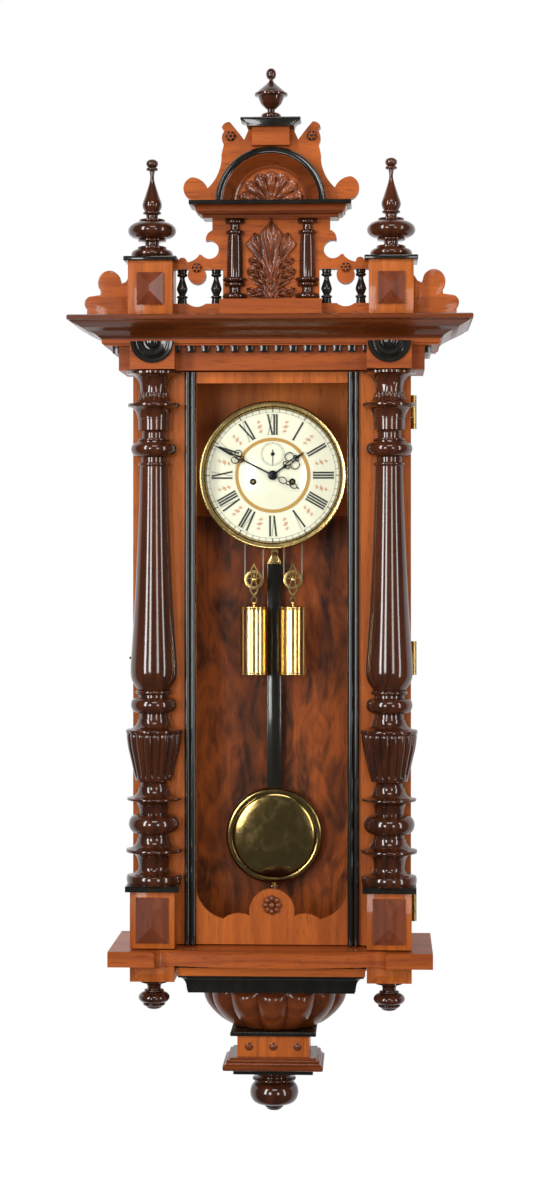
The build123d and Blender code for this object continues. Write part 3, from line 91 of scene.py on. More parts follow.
class Value:
    """A number in a node tree that grows by Python's operators."""

    def __init__(self, graph: "Graph", socket: bpy.types.NodeSocket) -> None:
        """Wrap a socket.

        Args:
            graph: The tree that it is in.
            socket: The socket that gives the number.
        """
        self.graph = graph
        self.socket = socket

    def __add__(self, other: "Operand") -> "Value":
        """Add a value."""
        return self.graph.math("ADD", self, other)

    def __radd__(self, other: "Operand") -> "Value":
        """Add to a number."""
        return self.graph.math("ADD", other, self)

    def __sub__(self, other: "Operand") -> "Value":
        """Take a value off."""
        return self.graph.math("SUBTRACT", self, other)

    def __rsub__(self, other: "Operand") -> "Value":
        """Take it off a number."""
        return self.graph.math("SUBTRACT", other, self)

    def __mul__(self, other: "Operand") -> "Value":
        """Multiply by a value."""
        return self.graph.math("MULTIPLY", self, other)

    def __rmul__(self, other: "Operand") -> "Value":
        """Multiply a number."""
        return self.graph.math("MULTIPLY", other, self)

    def __truediv__(self, other: "Operand") -> "Value":
        """Divide by a value."""
        return self.graph.math("DIVIDE", self, other)

    def __pow__(self, other: "Operand") -> "Value":
        """Raise to a power."""
        return self.graph.math("POWER", self, other)

    def sine(self) -> "Value":
        """Take the sine.

        Returns:
            The sine of the value.
        """
        return self.graph.math("SINE", self)

    def between(self, low: float, high: float) -> "Value":
        """Map a stretch smoothly to 0 and 1.

        Args:
            low: The value that becomes 0.
            high: The value that becomes 1.

        Returns:
            The mapped value.
        """
        settings = {"interpolation_type": "SMOOTHSTEP"}
        node = self.graph.node("ShaderNodeMapRange", settings,
                               {"Value": self, "From Min": low, "From Max": high})
        return Value(self.graph, node.outputs["Result"])


Operand = Value | float


class Graph:
    """A node tree and the few ways that this script adds to it."""

    def __init__(self, tree: bpy.types.NodeTree) -> None:
        """Start with an empty tree.

        Args:
            tree: The tree to empty and fill.
        """
        self.tree = tree
        tree.nodes.clear()

    def node(self, kind: str, settings: Optional[dict] = None,
             inputs: Optional[dict] = None) -> bpy.types.Node:
        """Add a node.

        Args:
            kind: The node's type name.
            settings: Attributes to set.
            inputs: Input names with values, sockets or Values.

        Returns:
            The node.
        """
        node = self.tree.nodes.new(kind)
        for key, setting in (settings or {}).items():
            setattr(node, key, setting)
        for key, given in (inputs or {}).items():
            socket = node.inputs[key]
            given = given.socket if isinstance(given, Value) else given
            if isinstance(given, bpy.types.NodeSocket):
                self.tree.links.new(given, socket)
            else:
                socket.default_value = given
        return node

    def math(self, operation: str, *values: Operand) -> Value:
        """Add a Math node.

        Args:
            operation: The operation's name.
            *values: Its inputs in order.

        Returns:
            The result.
        """
        return Value(self, self.node("ShaderNodeMath", {"operation": operation},
                                     dict(enumerate(values))).outputs[0])

    def place(self, stretch: Sequence[float] = (1, 1, 1)) -> bpy.types.NodeSocket:
        """Give the place on the object, stretched along each axis.

        Args:
            stretch: The factor along X, Y and Z.

        Returns:
            The vector socket.
        """
        place = self.node("ShaderNodeTexCoord").outputs["Object"]
        stretched = self.node("ShaderNodeVectorMath", {"operation": "MULTIPLY"},
                              {0: place, 1: tuple(stretch)})
        return stretched.outputs[0]

    def parts(self) -> tuple[Value, Value, Value]:
        """Give the place on the object as three values.

        Returns:
            X, Y and Z in metres.
        """
        split = self.node("ShaderNodeSeparateXYZ", None, {0: self.place()})
        return tuple(Value(self, split.outputs[axis]) for axis in "XYZ")

    def noise(self, vector: bpy.types.NodeSocket, scale: float, detail: float = 3,
              distortion: float = 0) -> Value:
        """Add a noise texture.

        Args:
            vector: Where it is read.
            scale: How fine it is.
            detail: How many layers it has.
            distortion: How much it swirls.

        Returns:
            The noise from 0 to 1.
        """
        inputs = {"Vector": vector, "Scale": scale, "Detail": detail, "Distortion": distortion}
        return Value(self, self.node("ShaderNodeTexNoise", None, inputs).outputs[0])

    def mix(self, factor: Operand, first: object, second: object) -> bpy.types.NodeSocket:
        """Mix two colours.

        Args:
            factor: 0 for the first and 1 for the second.
            first: A colour or a socket.
            second: A colour or a socket.

        Returns:
            The colour socket.
        """
        node = self.node("ShaderNodeMix", {"data_type": "RGBA"}, {0: factor})
        for socket, given in ((node.inputs[6], first), (node.inputs[7], second)):
            if isinstance(given, bpy.types.NodeSocket):
                self.tree.links.new(given, socket)
            else:
                socket.default_value = (*given, 1)
        return node.outputs[2]

    def bump(self, height: Value, distance: float, strength: float = 1.0) -> bpy.types.NodeSocket:
        """Turn a height into a normal.

        Args:
            height: The height from 0 to 1.
            distance: How deep it is in metres.
            strength: How much of it shows.

        Returns:
            The normal socket.
        """
        inputs = {"Height": height, "Distance": distance, "Strength": strength}
        return self.node("ShaderNodeBump", None, inputs).outputs[0]

    def close(self, inputs: dict) -> bpy.types.Node:
        """Finish a material with a Principled shader.

        Args:
            inputs: Its inputs.

        Returns:
            The shader node.
        """
        shader = self.node("ShaderNodeBsdfPrincipled", None, inputs)
        self.node("ShaderNodeOutputMaterial", None, {"Surface": shader.outputs[0]})
        return shader


class Grain(Enum):
    """The direction of a board's grain, as how fast the figure changes along each axis."""

    UPRIGHT = (1.0, 1.0, 0.07)
    ACROSS = (0.07, 1.0, 1.0)


class Finish:
    """A surface that is made once and shared by all pieces that have it."""

    name: str
    slot: str

    def build(self, graph: Graph) -> None:
        """Fill the material's tree, in each kind of finish its own way.

        Args:
            graph: The tree to fill.
        """
        raise NotImplementedError

    def material(self) -> bpy.types.Material:
        """Give the material, made on first use.

        Returns:
            The material.
        """
        found = bpy.data.materials.get(self.name)
        if found is None:
            found = bpy.data.materials.new(self.name)
            found.use_nodes = True
            self.build(Graph(found.node_tree))
        return found


@dataclass(frozen=True)
class Wood(Finish):
    """Polished wood with rings, pores and a coat of varnish, and where asked painted shade darkening its hollows and
    worn, lighter ridges.
    """

    name: str
    slot: str
    light: Colour
    dark: Colour
    grain: Grain = Grain.UPRIGHT
    rings: float = 260.0
    figure: float = 0.55
    swirl: float = 5.0
    roughness: float = 0.32
    varnish: float = 0.55
    # How strongly painted shade darkens concave spots and wear lightens convex ridges.
    hollow_shade_and_edge_wear: float = 0.0

    def build(self, graph: Graph) -> None:
        """Fill the material's tree.

        Args:
            graph: The tree to fill.
        """
        along = graph.place(self.grain.value)
        warp = graph.noise(along, 22, 4, 0.6)
        x, y, z = graph.parts()
        across = z + y if self.grain is Grain.ACROSS else x + 0.7 * y
        bands = (across * self.rings + warp * self.swirl * 6.28).sine() * 0.5 + 0.5
        drift = graph.noise(along, 9, 2)
        fibre = graph.noise(along, 620, 3)
        pores = fibre.between(0.56, 0.68)
        tone = bands * self.figure + drift.between(0.3, 0.7) * (1 - self.figure)
        colour = graph.mix(tone, self.dark, self.light)
        colour = graph.mix(pores * 0.45, colour, tuple(0.35 * channel for channel in self.dark))
        # Painted shade: concave spots, found by pointiness, are darkened towards a deep brown; convex ridges are
        # lightened as edge wear.
        if self.hollow_shade_and_edge_wear:
            bend = Value(graph, graph.node("ShaderNodeNewGeometry").outputs["Pointiness"])
            colour = graph.mix(bend.between(0.5, 0.44) * self.hollow_shade_and_edge_wear, colour,
                               tuple(0.15 * c for c in self.dark))
            colour = graph.mix(bend.between(0.53, 0.62) * 0.5 * self.hollow_shade_and_edge_wear, colour, self.light)
        coat = graph.noise(graph.place(), 45, 2)
        graph.close({
            "Base Color": colour,
            "Roughness": fibre * 0.12 + (self.roughness - 0.06),
            "Specular IOR Level": 0.18,
            "Coat Weight": self.varnish,
            "Coat Roughness": 0.08,
            "Normal": graph.bump(fibre * 0.4 + coat, 0.00012, 0.25),
        })


@dataclass(frozen=True)
class Burl(Finish):
    """Flamed veneer whose figure swirls in tongues."""

    name: str
    slot: str
    light: Colour
    dark: Colour
    roughness: float = 0.3

    def build(self, graph: Graph) -> None:
        """Fill the material's tree.

        Args:
            graph: The tree to fill.
        """
        place = graph.place((1, 1, 0.35))
        fold = graph.noise(place, 11, 5, 2.2)
        tongue = graph.noise(place, 26, 6, 3.5)
        x, _, z = graph.parts()
        flame = ((x * 46) + fold * 16 + z * 5).sine() * 0.5 + 0.5
        fibre = graph.noise(graph.place((1, 1, 0.1)), 500, 3)
        tone = flame * 0.55 + tongue.between(0.35, 0.65) * 0.45
        colour = graph.mix(tone, self.dark, self.light)
        colour = graph.mix(fibre.between(0.55, 0.7) * 0.4, colour, tuple(0.4 * c for c in self.dark))
        graph.close({
            "Base Color": colour,
            "Roughness": tongue * 0.15 + self.roughness,
            "Specular IOR Level": 0.2,
            "Coat Weight": 0.25,
            "Coat Roughness": 0.1,
            "Normal": graph.bump(fibre, 0.0002, 0.3),
        })


@dataclass(frozen=True)
class Metal(Finish):
    """Polished or aged metal with faint tarnish and handling marks."""

    name: str
    slot: str
    bright: Colour
    tarnish: Colour
    roughness: float = 0.18
    age: float = 0.35

    def build(self, graph: Graph) -> None:
        """Fill the material's tree.

        Args:
            graph: The tree to fill.
        """
        cloud = graph.noise(graph.place(), 60, 5, 0.8)
        speck = graph.noise(graph.place(), 900, 2)
        aged = cloud.between(0.42, 0.72) * self.age
        graph.close({
            "Base Color": graph.mix(aged, self.bright, self.tarnish),
            "Metallic": 1.0,
            "Roughness": aged * 0.3 + speck * 0.06 + self.roughness,
            "Normal": graph.bump(speck, 0.00005, 0.2),
        })


@dataclass(frozen=True)
class Enamel(Finish):
    """Fired enamel with a soft waviness and faint ageing."""

    name: str
    slot: str
    colour: Colour
    aged: Colour

    def build(self, graph: Graph) -> None:
        """Fill the material's tree.

        Args:
            graph: The tree to fill.
        """
        cloud = graph.noise(graph.place(), 30, 4)
        speck = graph.noise(graph.place(), 1400, 1)
        graph.close({
            "Base Color": graph.mix(cloud.between(0.4, 0.9) * 0.5 + speck.between(0.7, 0.8) * 0.2,
                                    self.colour, self.aged),
            "Roughness": cloud * 0.1 + 0.18,
            "Coat Weight": 0.6,
            "Coat Roughness": 0.06,
            "Normal": graph.bump(cloud, 0.0002, 0.2),
        })


@dataclass(frozen=True)
class Print(Finish):
    """Thin fired paint on the dial, a little uneven at full strength."""

    name: str
    slot: str
    colour: Colour
    worn: Colour

    def build(self, graph: Graph) -> None:
        """Fill the material's tree.

        Args:
            graph: The tree to fill.
        """
        cloud = graph.noise(graph.place(), 700, 2)
        colour = graph.mix(cloud.between(0.55, 0.8) * 0.3, self.colour, self.worn)
        graph.close({"Base Color": colour, "Roughness": cloud * 0.2 + 0.25})


@dataclass(frozen=True)
class Gut(Finish):
    """Twisted gut line, with painted shade darkening the grooves of its twist."""

    name: str
    slot: str
    colour: Colour
    # The colour of the twist's grooves, which is painted shade.
    hollow: Colour

    def build(self, graph: Graph) -> None:
        """Fill the material's tree.

        Args:
            graph: The tree to fill.
        """
        x, y, z = graph.parts()
        # Painted shade: the grooves of the twist get the darker colour.
        twist = ((x + y) * 2600 + z * 3600).sine() * 0.5 + 0.5
        graph.close({
            "Base Color": graph.mix(twist, self.hollow, self.colour),
            "Roughness": twist * 0.1 + 0.5,
            "Normal": graph.bump(twist, 0.0002, 0.6),
        })


@dataclass(frozen=True)
class Pane(Finish):
    """Thin clear glass that shows a weak reflection."""

    name: str
    slot: str
    tint: Colour

    def build(self, graph: Graph) -> None:
        """Fill the material's tree.

        Args:
            graph: The tree to fill.
        """
        wave = graph.noise(graph.place(), 7, 2)
        clear = graph.node("ShaderNodeBsdfTransparent", None, {"Color": (*self.tint, 1)})
        normal = graph.bump(wave, 0.002, 0.15)
        gloss = graph.node("ShaderNodeBsdfGlossy", None, {"Roughness": 0.03, "Normal": normal})
        rim = graph.node("ShaderNodeFresnel", None, {"IOR": 1.35})
        share = Value(graph, rim.outputs[0]) * 0.22
        both = graph.node("ShaderNodeMixShader", None, {0: share, 1: clear.outputs[0], 2: gloss.outputs[0]})
        graph.node("ShaderNodeOutputMaterial", None, {"Surface": both.outputs[0]})


VENEER = Wood("light_veneer", "walnut_veneer", paint(208, 114, 40), paint(164, 82, 26), rings=150,
              figure=0.35,
              roughness=0.42, varnish=0.2)
VENEER_ACROSS = Wood("rail_veneer", "walnut_veneer", paint(202, 108, 38), paint(156, 76, 24),
                     grain=Grain.ACROSS, rings=150, figure=0.35, swirl=5, roughness=0.42, varnish=0.2)
STILE = Wood("stile_wood", "walnut_veneer", paint(186, 98, 34), paint(138, 66, 20), rings=190, figure=0.35,
             roughness=0.4, varnish=0.25)
BOARD = Wood("board_wood", "dark_walnut", paint(176, 88, 30), paint(128, 58, 18), grain=Grain.ACROSS,
             rings=150, figure=0.4, swirl=5, roughness=0.4, varnish=0.25)
CORNICE = Wood("cornice_wood", "dark_walnut", paint(118, 56, 22), paint(70, 31, 12), grain=Grain.ACROSS,
               rings=180, figure=0.45, swirl=4, roughness=0.28, varnish=0.5)
TURNED = Wood("turned_wood", "dark_walnut", paint(80, 38, 17), paint(38, 17, 8), grain=Grain.UPRIGHT,
              rings=230, figure=0.4, swirl=4, roughness=0.16, varnish=0.9)
# The carving has painted shade darkening its hollows and lighter worn ridges.
CARVED = Wood("carved_wood", "carved_walnut", paint(146, 76, 38), paint(88, 41, 19), grain=Grain.UPRIGHT,
              rings=200, figure=0.3, swirl=4, roughness=0.3, varnish=0.5, hollow_shade_and_edge_wear=0.9)
EBONY = Wood("black_wood", "ebonised_wood", paint(34, 31, 25), paint(17, 16, 13), grain=Grain.UPRIGHT,
             rings=240, figure=0.3, swirl=3, roughness=0.2, varnish=0.7)
PANEL = Wood("panel_wood", "dark_walnut", paint(124, 60, 34), paint(88, 41, 22), grain=Grain.UPRIGHT,
             rings=210, figure=0.4, swirl=4, roughness=0.4, varnish=0.2)
FLAME = Burl("flame_veneer", "walnut_veneer", paint(160, 76, 22), paint(62, 28, 8))
BRASS = Metal("polished_brass", "brass", (0.82, 0.57, 0.22), (0.52, 0.34, 0.12), roughness=0.15, age=0.25)
# A darker copy of the brass: partly tarnish, partly painted shade on the bezel's inner wall and the bob.
AGED_SHADED_BRASS = Metal("aged_and_shaded_brass", "brass", (0.36, 0.25, 0.09), (0.22, 0.15, 0.06), roughness=0.09, age=0.3)
STEEL = Metal("polished_steel", "steel", (0.56, 0.55, 0.52), (0.25, 0.23, 0.2), roughness=0.25, age=0.4)
BLACK_METAL = Metal("black_steel", "blued_steel", (0.03, 0.03, 0.033), (0.015, 0.014, 0.015), roughness=0.22,
                    age=0.3)
ENAMEL = Enamel("cream_enamel", "enamel", paint(236, 233, 208), paint(226, 219, 190))
INK = Print("dial_black", "enamel", (0.012, 0.012, 0.012), (0.06, 0.055, 0.05))
FAINT_INK = Print("dial_grey", "enamel", (0.25, 0.24, 0.22), (0.4, 0.39, 0.36))
GILT = Print("dial_gilt", "enamel", paint(182, 138, 60), paint(146, 104, 40))
ROSE = Print("dial_rose", "enamel", paint(228, 164, 128), paint(240, 200, 170))
# Its second colour is painted shade in the grooves of the twist.
GUT = Gut("gut", "gut_line", paint(206, 204, 192), paint(120, 116, 104))
GLASS = Pane("pane", "glass", (0.985, 0.992, 0.988))


# Geometry

class Profile:
    """A section in millimetres, drawn from the top down as reach and drop."""

    def __init__(self, reach: float = 0.0, drop: float = 0.0) -> None:
        """Start at a point.

        Args:
            reach: The first reach.
            drop: The first drop.
        """
        self.points: list[Point2] = [(reach, drop)]

    def to(self, reach: float, height: float = 0.0) -> "Profile":
        """Go straight to a reach.

        Args:
            reach: The new reach.
            height: How far down it is.

        Returns:
            The profile itself.
        """
        self.points.append((reach, self.points[-1][1] + height))
        return self

    def bead(self, swell: float, height: float, end: Optional[float] = None, steps: int = 10) -> "Profile":
        """Swell out and come back, or cut in with a negative swell.

        Args:
            swell: How far it swells.
            height: How tall it is.
            end: The reach where it ends, or the one where it starts.
            steps: How many facets it has.

        Returns:
            The profile itself.
        """
        reach, drop = self.points[-1]
        end = reach if end is None else end
        for k in range(1, steps + 1):
            turn = math.pi * k / steps
            share = (1 - math.cos(turn)) / 2
            self.points.append((reach + (end - reach) * share + swell * math.sin(turn),
                                drop + height * share))
        return self

    def quarter(self, end: float, height: float, hollow: bool, steps: int = 7) -> "Profile":
        """Go to a reach on a quarter of an oval.

        Args:
            end: The reach where it ends.
            height: How tall it is.
            hollow: Whether it is hollow or round.
            steps: How many facets it has.

        Returns:
            The profile itself.
        """
        reach, drop = self.points[-1]
        level_first = hollow == (end < reach)
        for k in range(1, steps + 1):
            turn = math.pi / 2 * k / steps
            out, down = (math.sin(turn), 1 - math.cos(turn)) if level_first else (1 - math.cos(turn),
                                                                                  math.sin(turn))
            self.points.append((reach + (end - reach) * out, drop + height * down))
        return self

    def smooth(self, members: Sequence[Point2], steps: int = 6) -> "Profile":
        """Run smoothly through members.

        Args:
            members: Reach and height of each, where a height counts from the one before.
            steps: How many facets lie between two of them.

        Returns:
            The profile itself.
        """
        knots = [self.points[-1]]
        for reach, height in members:
            knots.append((reach, knots[-1][1] + height))
        ends = [knots[0], *knots, knots[-1]]
        for k in range(1, len(knots)):
            a, b, c, d = ends[k - 1:k + 3]
            for step in range(1, steps + 1):
                t = step / steps
                self.points.append(tuple(
                    0.5 * (2 * q + (r - p) * t + (2 * p - 5 * q + 4 * r - s) * t * t + (3 * q - p - 3 * r + s) * t ** 3)
                    for p, q, r, s in zip(a, b, c, d)))
        return self

    def fit(self, height: float) -> "Profile":
        """Stretch it to a height.

        Args:
            height: The new height.

        Returns:
            The profile itself.
        """
        scale = height / self.points[-1][1]
        self.points = [(reach, drop * scale) for reach, drop in self.points]
        return self

    def height(self) -> float:
        """Give the whole height.

        Returns:
            The drop of the last point.
        """
        return self.points[-1][1]


def add_piece(name: str, points: Sequence[Sequence[float]], faces: Sequence[Sequence[int]], finish: Finish,
              body: Optional[str], stands_for: Iterable[str] = (), crease: float = 35.0) -> bpy.types.Object:
    """Add a mesh that rides on a body.

    Args:
        name: The piece's name.
        points: Its corners in metres.
        faces: Its faces.
        finish: Its finish.
        body: The CAD body that it rides on, or None for a line that rides on no body.
        stands_for: CAD nodes that it replaces.
        crease: The angle in degrees past which an edge is sharp.

    Returns:
        The object.
    """
    mesh = bpy.data.meshes.new(name)
    mesh.from_pydata([tuple(p) for p in points], [], [tuple(f) for f in faces])
    mesh.validate()
    form = bmesh.new()
    form.from_mesh(mesh)
    bmesh.ops.remove_doubles(form, verts=form.verts, dist=1e-6)
    bmesh.ops.recalc_face_normals(form, faces=form.faces)
    form.to_mesh(mesh)
    form.free()
    mesh.polygons.foreach_set("use_smooth", [True] * len(mesh.polygons))
    mesh.set_sharp_from_angle(angle=math.radians(crease))
    mesh.materials.append(finish.material())
    piece = bpy.data.objects.new(name, mesh)
    bpy.context.collection.objects.link(piece)
    if body:
        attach(piece, body)
    for node in stands_for:
        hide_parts(node)
    return piece


Face = tuple[int, ...]
Shape = tuple[list[Vector], list[Face]]


def grid(spans: int, across: int, closed: bool = True) -> list[Face]:
    """Join rows of points with faces.

    Args:
        spans: How many stretches lie between the rows.
        across: How many points a row has.
        closed: Whether a row's last point joins its first.

    Returns:
        The faces.
    """
    faces: list[Face] = []
    for row in range(spans):
        for k in range(across if closed else across - 1):
            after = (k + 1) % across
            faces.append((row * across + k, row * across + after, (row + 1) * across + after,
                          (row + 1) * across + k))
    return faces


def joined(shapes: Iterable[Shape]) -> Shape:
    """Put several shapes into one.

    Args:
        shapes: Points and faces of each.

    Returns:
        Their points and faces.
    """
    points: list[Vector] = []
    faces: list[Face] = []
    for more_points, more_faces in shapes:
        start = len(points)
        points.extend(more_points)
        faces.extend(tuple(start + k for k in face) for face in more_faces)
    return points, faces


def turned(profile: Profile, x: float, y: float, top: float, sides: int = 64,
           wave: Optional[Callable[[float, float], float]] = None, back: Optional[float] = None) -> Shape:
    """Turn a profile about an upright axis.

    Args:
        profile: The profile in millimetres.
        x: The axis in metres.
        y: The axis in metres.
        top: The level of the profile's start in metres.
        sides: How many facets go round.
        wave: A factor on the radius from the angle and the drop.
        back: The plane that the piece is planed flat at, if any.

    Returns:
        Points and faces.
    """
    points: list[Vector] = []
    for reach, drop in profile.points:
        for k in range(sides):
            turn = math.tau * k / sides
            radius = max(reach, 0.02) * MM * (wave(turn, drop) if wave else 1.0)
            depth = y + radius * math.sin(turn)
            points.append(Vector((x + radius * math.cos(turn), depth if back is None else min(depth, back),
                                  top - drop * MM)))
    rows = len(profile.points)
    faces = grid(rows - 1, sides)
    faces.append(tuple(range(sides)))
    faces.append(tuple(range((rows - 1) * sides, rows * sides)))
    return points, faces


def faced(profile: Profile, x: float, z: float, front: float, sides: int = 64,
          wave: Optional[Callable[[float, float], float]] = None, start: float = 0.0,
          sweep: float = 360.0) -> Shape:
    """Turn a profile about an axis that points at the viewer.

    Args:
        profile: The profile in millimetres, where the drop goes away from the viewer.
        x: The axis in metres.
        z: The axis in metres.
        front: The depth where the profile starts.
        sides: How many facets go round.
        wave: A factor on the radius from the angle and the drop.
        start: The angle in degrees where it starts.
        sweep: The angle in degrees that it turns.

    Returns:
        Points and faces.
    """
    whole = sweep >= 360
    around = sides if whole else sides + 1
    points: list[Vector] = []
    for reach, drop in profile.points:
        for k in range(around):
            turn = math.radians(start + sweep * k / sides)
            radius = max(reach, 0.02) * MM * (wave(turn, drop) if wave else 1.0)
            points.append(Vector((x + radius * math.cos(turn), front + drop * MM,
                                  z + radius * math.sin(turn))))
    return points, grid(len(profile.points) - 1, around, whole)


def run_round(profile: Profile, half: float, front: float, top: float, centre: float = 0.0) -> Shape:
    """Run a moulding round the left, front and right of a body on the wall.

    Args:
        profile: The profile in millimetres, where the reach goes out from the body.
        half: Half the body's width in metres.
        front: The body's front plane in metres.
        top: The level of the profile's start in metres.
        centre: The middle of the body along X.

    Returns:
        Points and faces.
    """
    points: list[Vector] = []
    for reach, drop in profile.points:
        out = reach * MM
        level = top - drop * MM
        side = half + out
        points += [Vector((centre - side, 0, level)), Vector((centre - side, front - out, level)),
                   Vector((centre + side, front - out, level)), Vector((centre + side, 0, level))]
    rows = len(profile.points)
    faces = grid(rows - 1, 4, False)
    faces += [tuple(4 * row + end for row in range(rows)) for end in (0, 3)]
    faces += [(0, 1, 2, 3), tuple(4 * (rows - 1) + k for k in range(4))]
    return points, faces


def plate(outline: Sequence[Point2], front: float, back: float, bevel: float = 0.8) -> Shape:
    """Cut a plate that faces the viewer and ease its front edge.

    Args:
        outline: X and Z of its corners in metres.
        front: The depth of its face in metres.
        back: The depth of its back in metres.
        bevel: How far its front edge is eased, in millimetres.

    Returns:
        Points and faces.
    """
    form = bmesh.new()
    ring = [form.verts.new((x, front, z)) for x, z in outline]
    face = form.faces.new(ring)
    bmesh.ops.recalc_face_normals(form, faces=[face])
    moved = bmesh.ops.extrude_face_region(form, geom=[face])
    behind = [v for v in moved["geom"] if isinstance(v, bmesh.types.BMVert)]
    bmesh.ops.translate(form, verts=behind, vec=(0, back - front, 0))
    bmesh.ops.recalc_face_normals(form, faces=form.faces)
    if bevel > 0:
        edges = [e for e in form.edges if all(abs(v.co.y - front) < 1e-7 for v in e.verts)]
        bmesh.ops.bevel(form, geom=edges, offset=bevel * MM, segments=2, profile=0.5, affect="EDGES")
    form.verts.index_update()
    shape = [v.co.copy() for v in form.verts], [tuple(v.index for v in f.verts) for f in form.faces]
    form.free()
    return shape


def block(low: Sequence[float], high: Sequence[float], bevel: float = 1.0) -> Shape:
    """Make a block with eased edges.

    Args:
        low: Its lowest corner in metres.
        high: Its highest corner in metres.
        bevel: How far its edges are eased, in millimetres.

    Returns:
        Points and faces.
    """
    form = bmesh.new()
    bmesh.ops.create_cube(form, size=1)
    for v in form.verts:
        v.co = Vector(l + (h - l) * (c + 0.5) for l, h, c in zip(low, high, v.co))
    bmesh.ops.bevel(form, geom=form.edges[:], offset=bevel * MM, segments=2, profile=0.5, affect="EDGES")
    form.verts.index_update()
    shape = [v.co.copy() for v in form.verts], [tuple(v.index for v in f.verts) for f in form.faces]
    form.free()
    return shape


def hipped(x: float, z: float, half_width: float, half_height: float, front: float, rise: float) -> Shape:
    """Make a raised panel with four slopes and a ridge.

    Args:
        x: The middle in metres.
        z: The middle in metres.
        half_width: Half its width in metres.
        half_height: Half its height in metres.
        front: The depth of the board that it stands on.
        rise: How far the ridge stands out.

    Returns:
        Points and faces.
    """
    ridge = max(half_height - half_width, 0.0)
    flat = max(half_width - half_height, 0.0)
    rim = [(-half_width, -half_height), (half_width, -half_height), (half_width, half_height),
           (-half_width, half_height)]
    lip = 0.25 * rise
    points = [Vector((x + u, front + 0.0005, z + v)) for u, v in rim]
    points += [Vector((x + u, front - lip, z + v)) for u, v in rim]
    points += [Vector((x + u, front - rise, z + v)) for u, v in ((-flat, -ridge), (flat, -ridge),
                                                                 (flat, ridge), (-flat, ridge))]
    faces = [(k, (k + 1) % 4, 4 + (k + 1) % 4, 4 + k) for k in range(4)]
    faces += [(4 + k, 4 + (k + 1) % 4, 8 + (k + 1) % 4, 8 + k) for k in range(4)]
    faces.append((8, 9, 10, 11))
    return points, faces


def ribbon(path: Sequence[Point2], widths: Sequence[float], front: float, thickness: float) -> Shape:
    """Cut a flat band that follows a path and faces the viewer.

    Args:
        path: X and Z of its middle in metres.
        widths: Its width at each point in metres.
        front: The depth of its face.
        thickness: Its thickness in metres.

    Returns:
        Points and faces.
    """
    points: list[Vector] = []
    last = len(path) - 1
    for k, (x, z) in enumerate(path):
        x0, z0 = path[max(k - 1, 0)]
        x1, z1 = path[min(k + 1, last)]
        length = math.hypot(x1 - x0, z1 - z0) or 1e-9
        u, w = -(z1 - z0) / length * widths[k] / 2, (x1 - x0) / length * widths[k] / 2
        ease = 0.3 * thickness
        for side, depth, pull in ((1, thickness, 1), (1, ease, 1), (1, 0, 0.6), (-1, 0, 0.6), (-1, ease, 1),
                                  (-1, thickness, 1)):
            points.append(Vector((x + side * u * pull, front + depth, z + side * w * pull)))
    faces = grid(last, 6)
    faces += [tuple(range(6)), tuple(range(6 * last, 6 * last + 6))]
    return points, faces


def carved_leaf(path: Sequence[Point2], widths: Sequence[float], front: float, rise: float, lobes: int = 5,
                cuts: float = 0.3) -> Shape:
    """Carve a leaf with a rib, gouged veins and a lobed edge.

    Args:
        path: X and Z of its rib in metres, from the stalk to the tip.
        widths: Its half width at each point in metres.
        front: The depth of the ground that it is carved on.
        rise: How far it stands out.
        lobes: How many lobes each side has.
        cuts: How deep the edge is cut between lobes.

    Returns:
        Points and faces.
    """
    across = 10
    rows = 8 * lobes
    points: list[Vector] = []
    last = len(path) - 1
    for row in range(rows + 1):
        share = row / rows
        spot = share * last
        k = min(int(spot), last - 1)
        t = spot - k
        x = path[k][0] + (path[k + 1][0] - path[k][0]) * t
        z = path[k][1] + (path[k + 1][1] - path[k][1]) * t
        half = widths[k] + (widths[k + 1] - widths[k]) * t
        x0, z0 = path[max(k - (t < 0.5), 0)]
        x1, z1 = path[min(k + 1 + (t >= 0.5), last)]
        length = math.hypot(x1 - x0, z1 - z0) or 1e-9
        u, w = -(z1 - z0) / length, (x1 - x0) / length
        along_x, along_z = (x1 - x0) / length, (z1 - z0) / length
        wave = abs(math.sin(math.pi * lobes * share))
        for column in range(-across, across + 1):
            side = column / across
            reach = half * side * (1 - cuts * (1 - wave) * abs(side))
            sweep_back = 0.35 * half * abs(side) * wave
            vein = math.cos(math.pi * (2 * lobes * share - 3 * abs(side)))
            dome = (1 - side * side) ** 0.5 * (0.55 + 0.45 * math.sin(math.pi * min(share * 1.1, 1)))
            rib = math.exp(-(side * 7) ** 2) * 0.35
            lift = rise * (dome * (0.8 + 0.2 * vein) + rib) if abs(side) < 1 else -0.0005
            points.append(Vector((x + u * reach + along_x * sweep_back, front - lift,
                                  z + w * reach + along_z * sweep_back)))
    return points, grid(rows, 2 * across + 1, False)


def rosette(x: float, z: float, radius: float, front: float, rise: float, petals: int = 8) -> Shape:
    """Carve a round flower with a button.

    Args:
        x: The middle in metres.
        z: The middle in metres.
        radius: Its radius in metres.
        front: The depth of the ground that it stands on.
        rise: How far it stands out.
        petals: How many petals it has.

    Returns:
        Points and faces.
    """
    rows = 18
    sides = 12 * petals
    points: list[Vector] = []
    for row in range(rows + 1):
        share = row / rows
        for k in range(sides):
            turn = math.tau * k / sides
            petal = abs(math.cos(petals * turn / 2))
            reach = radius * share * (0.86 + 0.14 * petal ** 0.5 if share > 0.4 else 1)
            if share < 0.3:
                lift = rise * (0.65 + 0.35 * math.sqrt(1 - (share / 0.3) ** 2))
            else:
                lift = rise * (0.35 + 0.4 * math.sin(math.pi * (share - 0.3) / 0.7)) * (0.55 + 0.45 * petal ** 0.6)
            lift = lift if row < rows else -0.0005
            points.append(Vector((x + reach * math.cos(turn), front - lift, z + reach * math.sin(turn))))
    return points, grid(rows, sides)


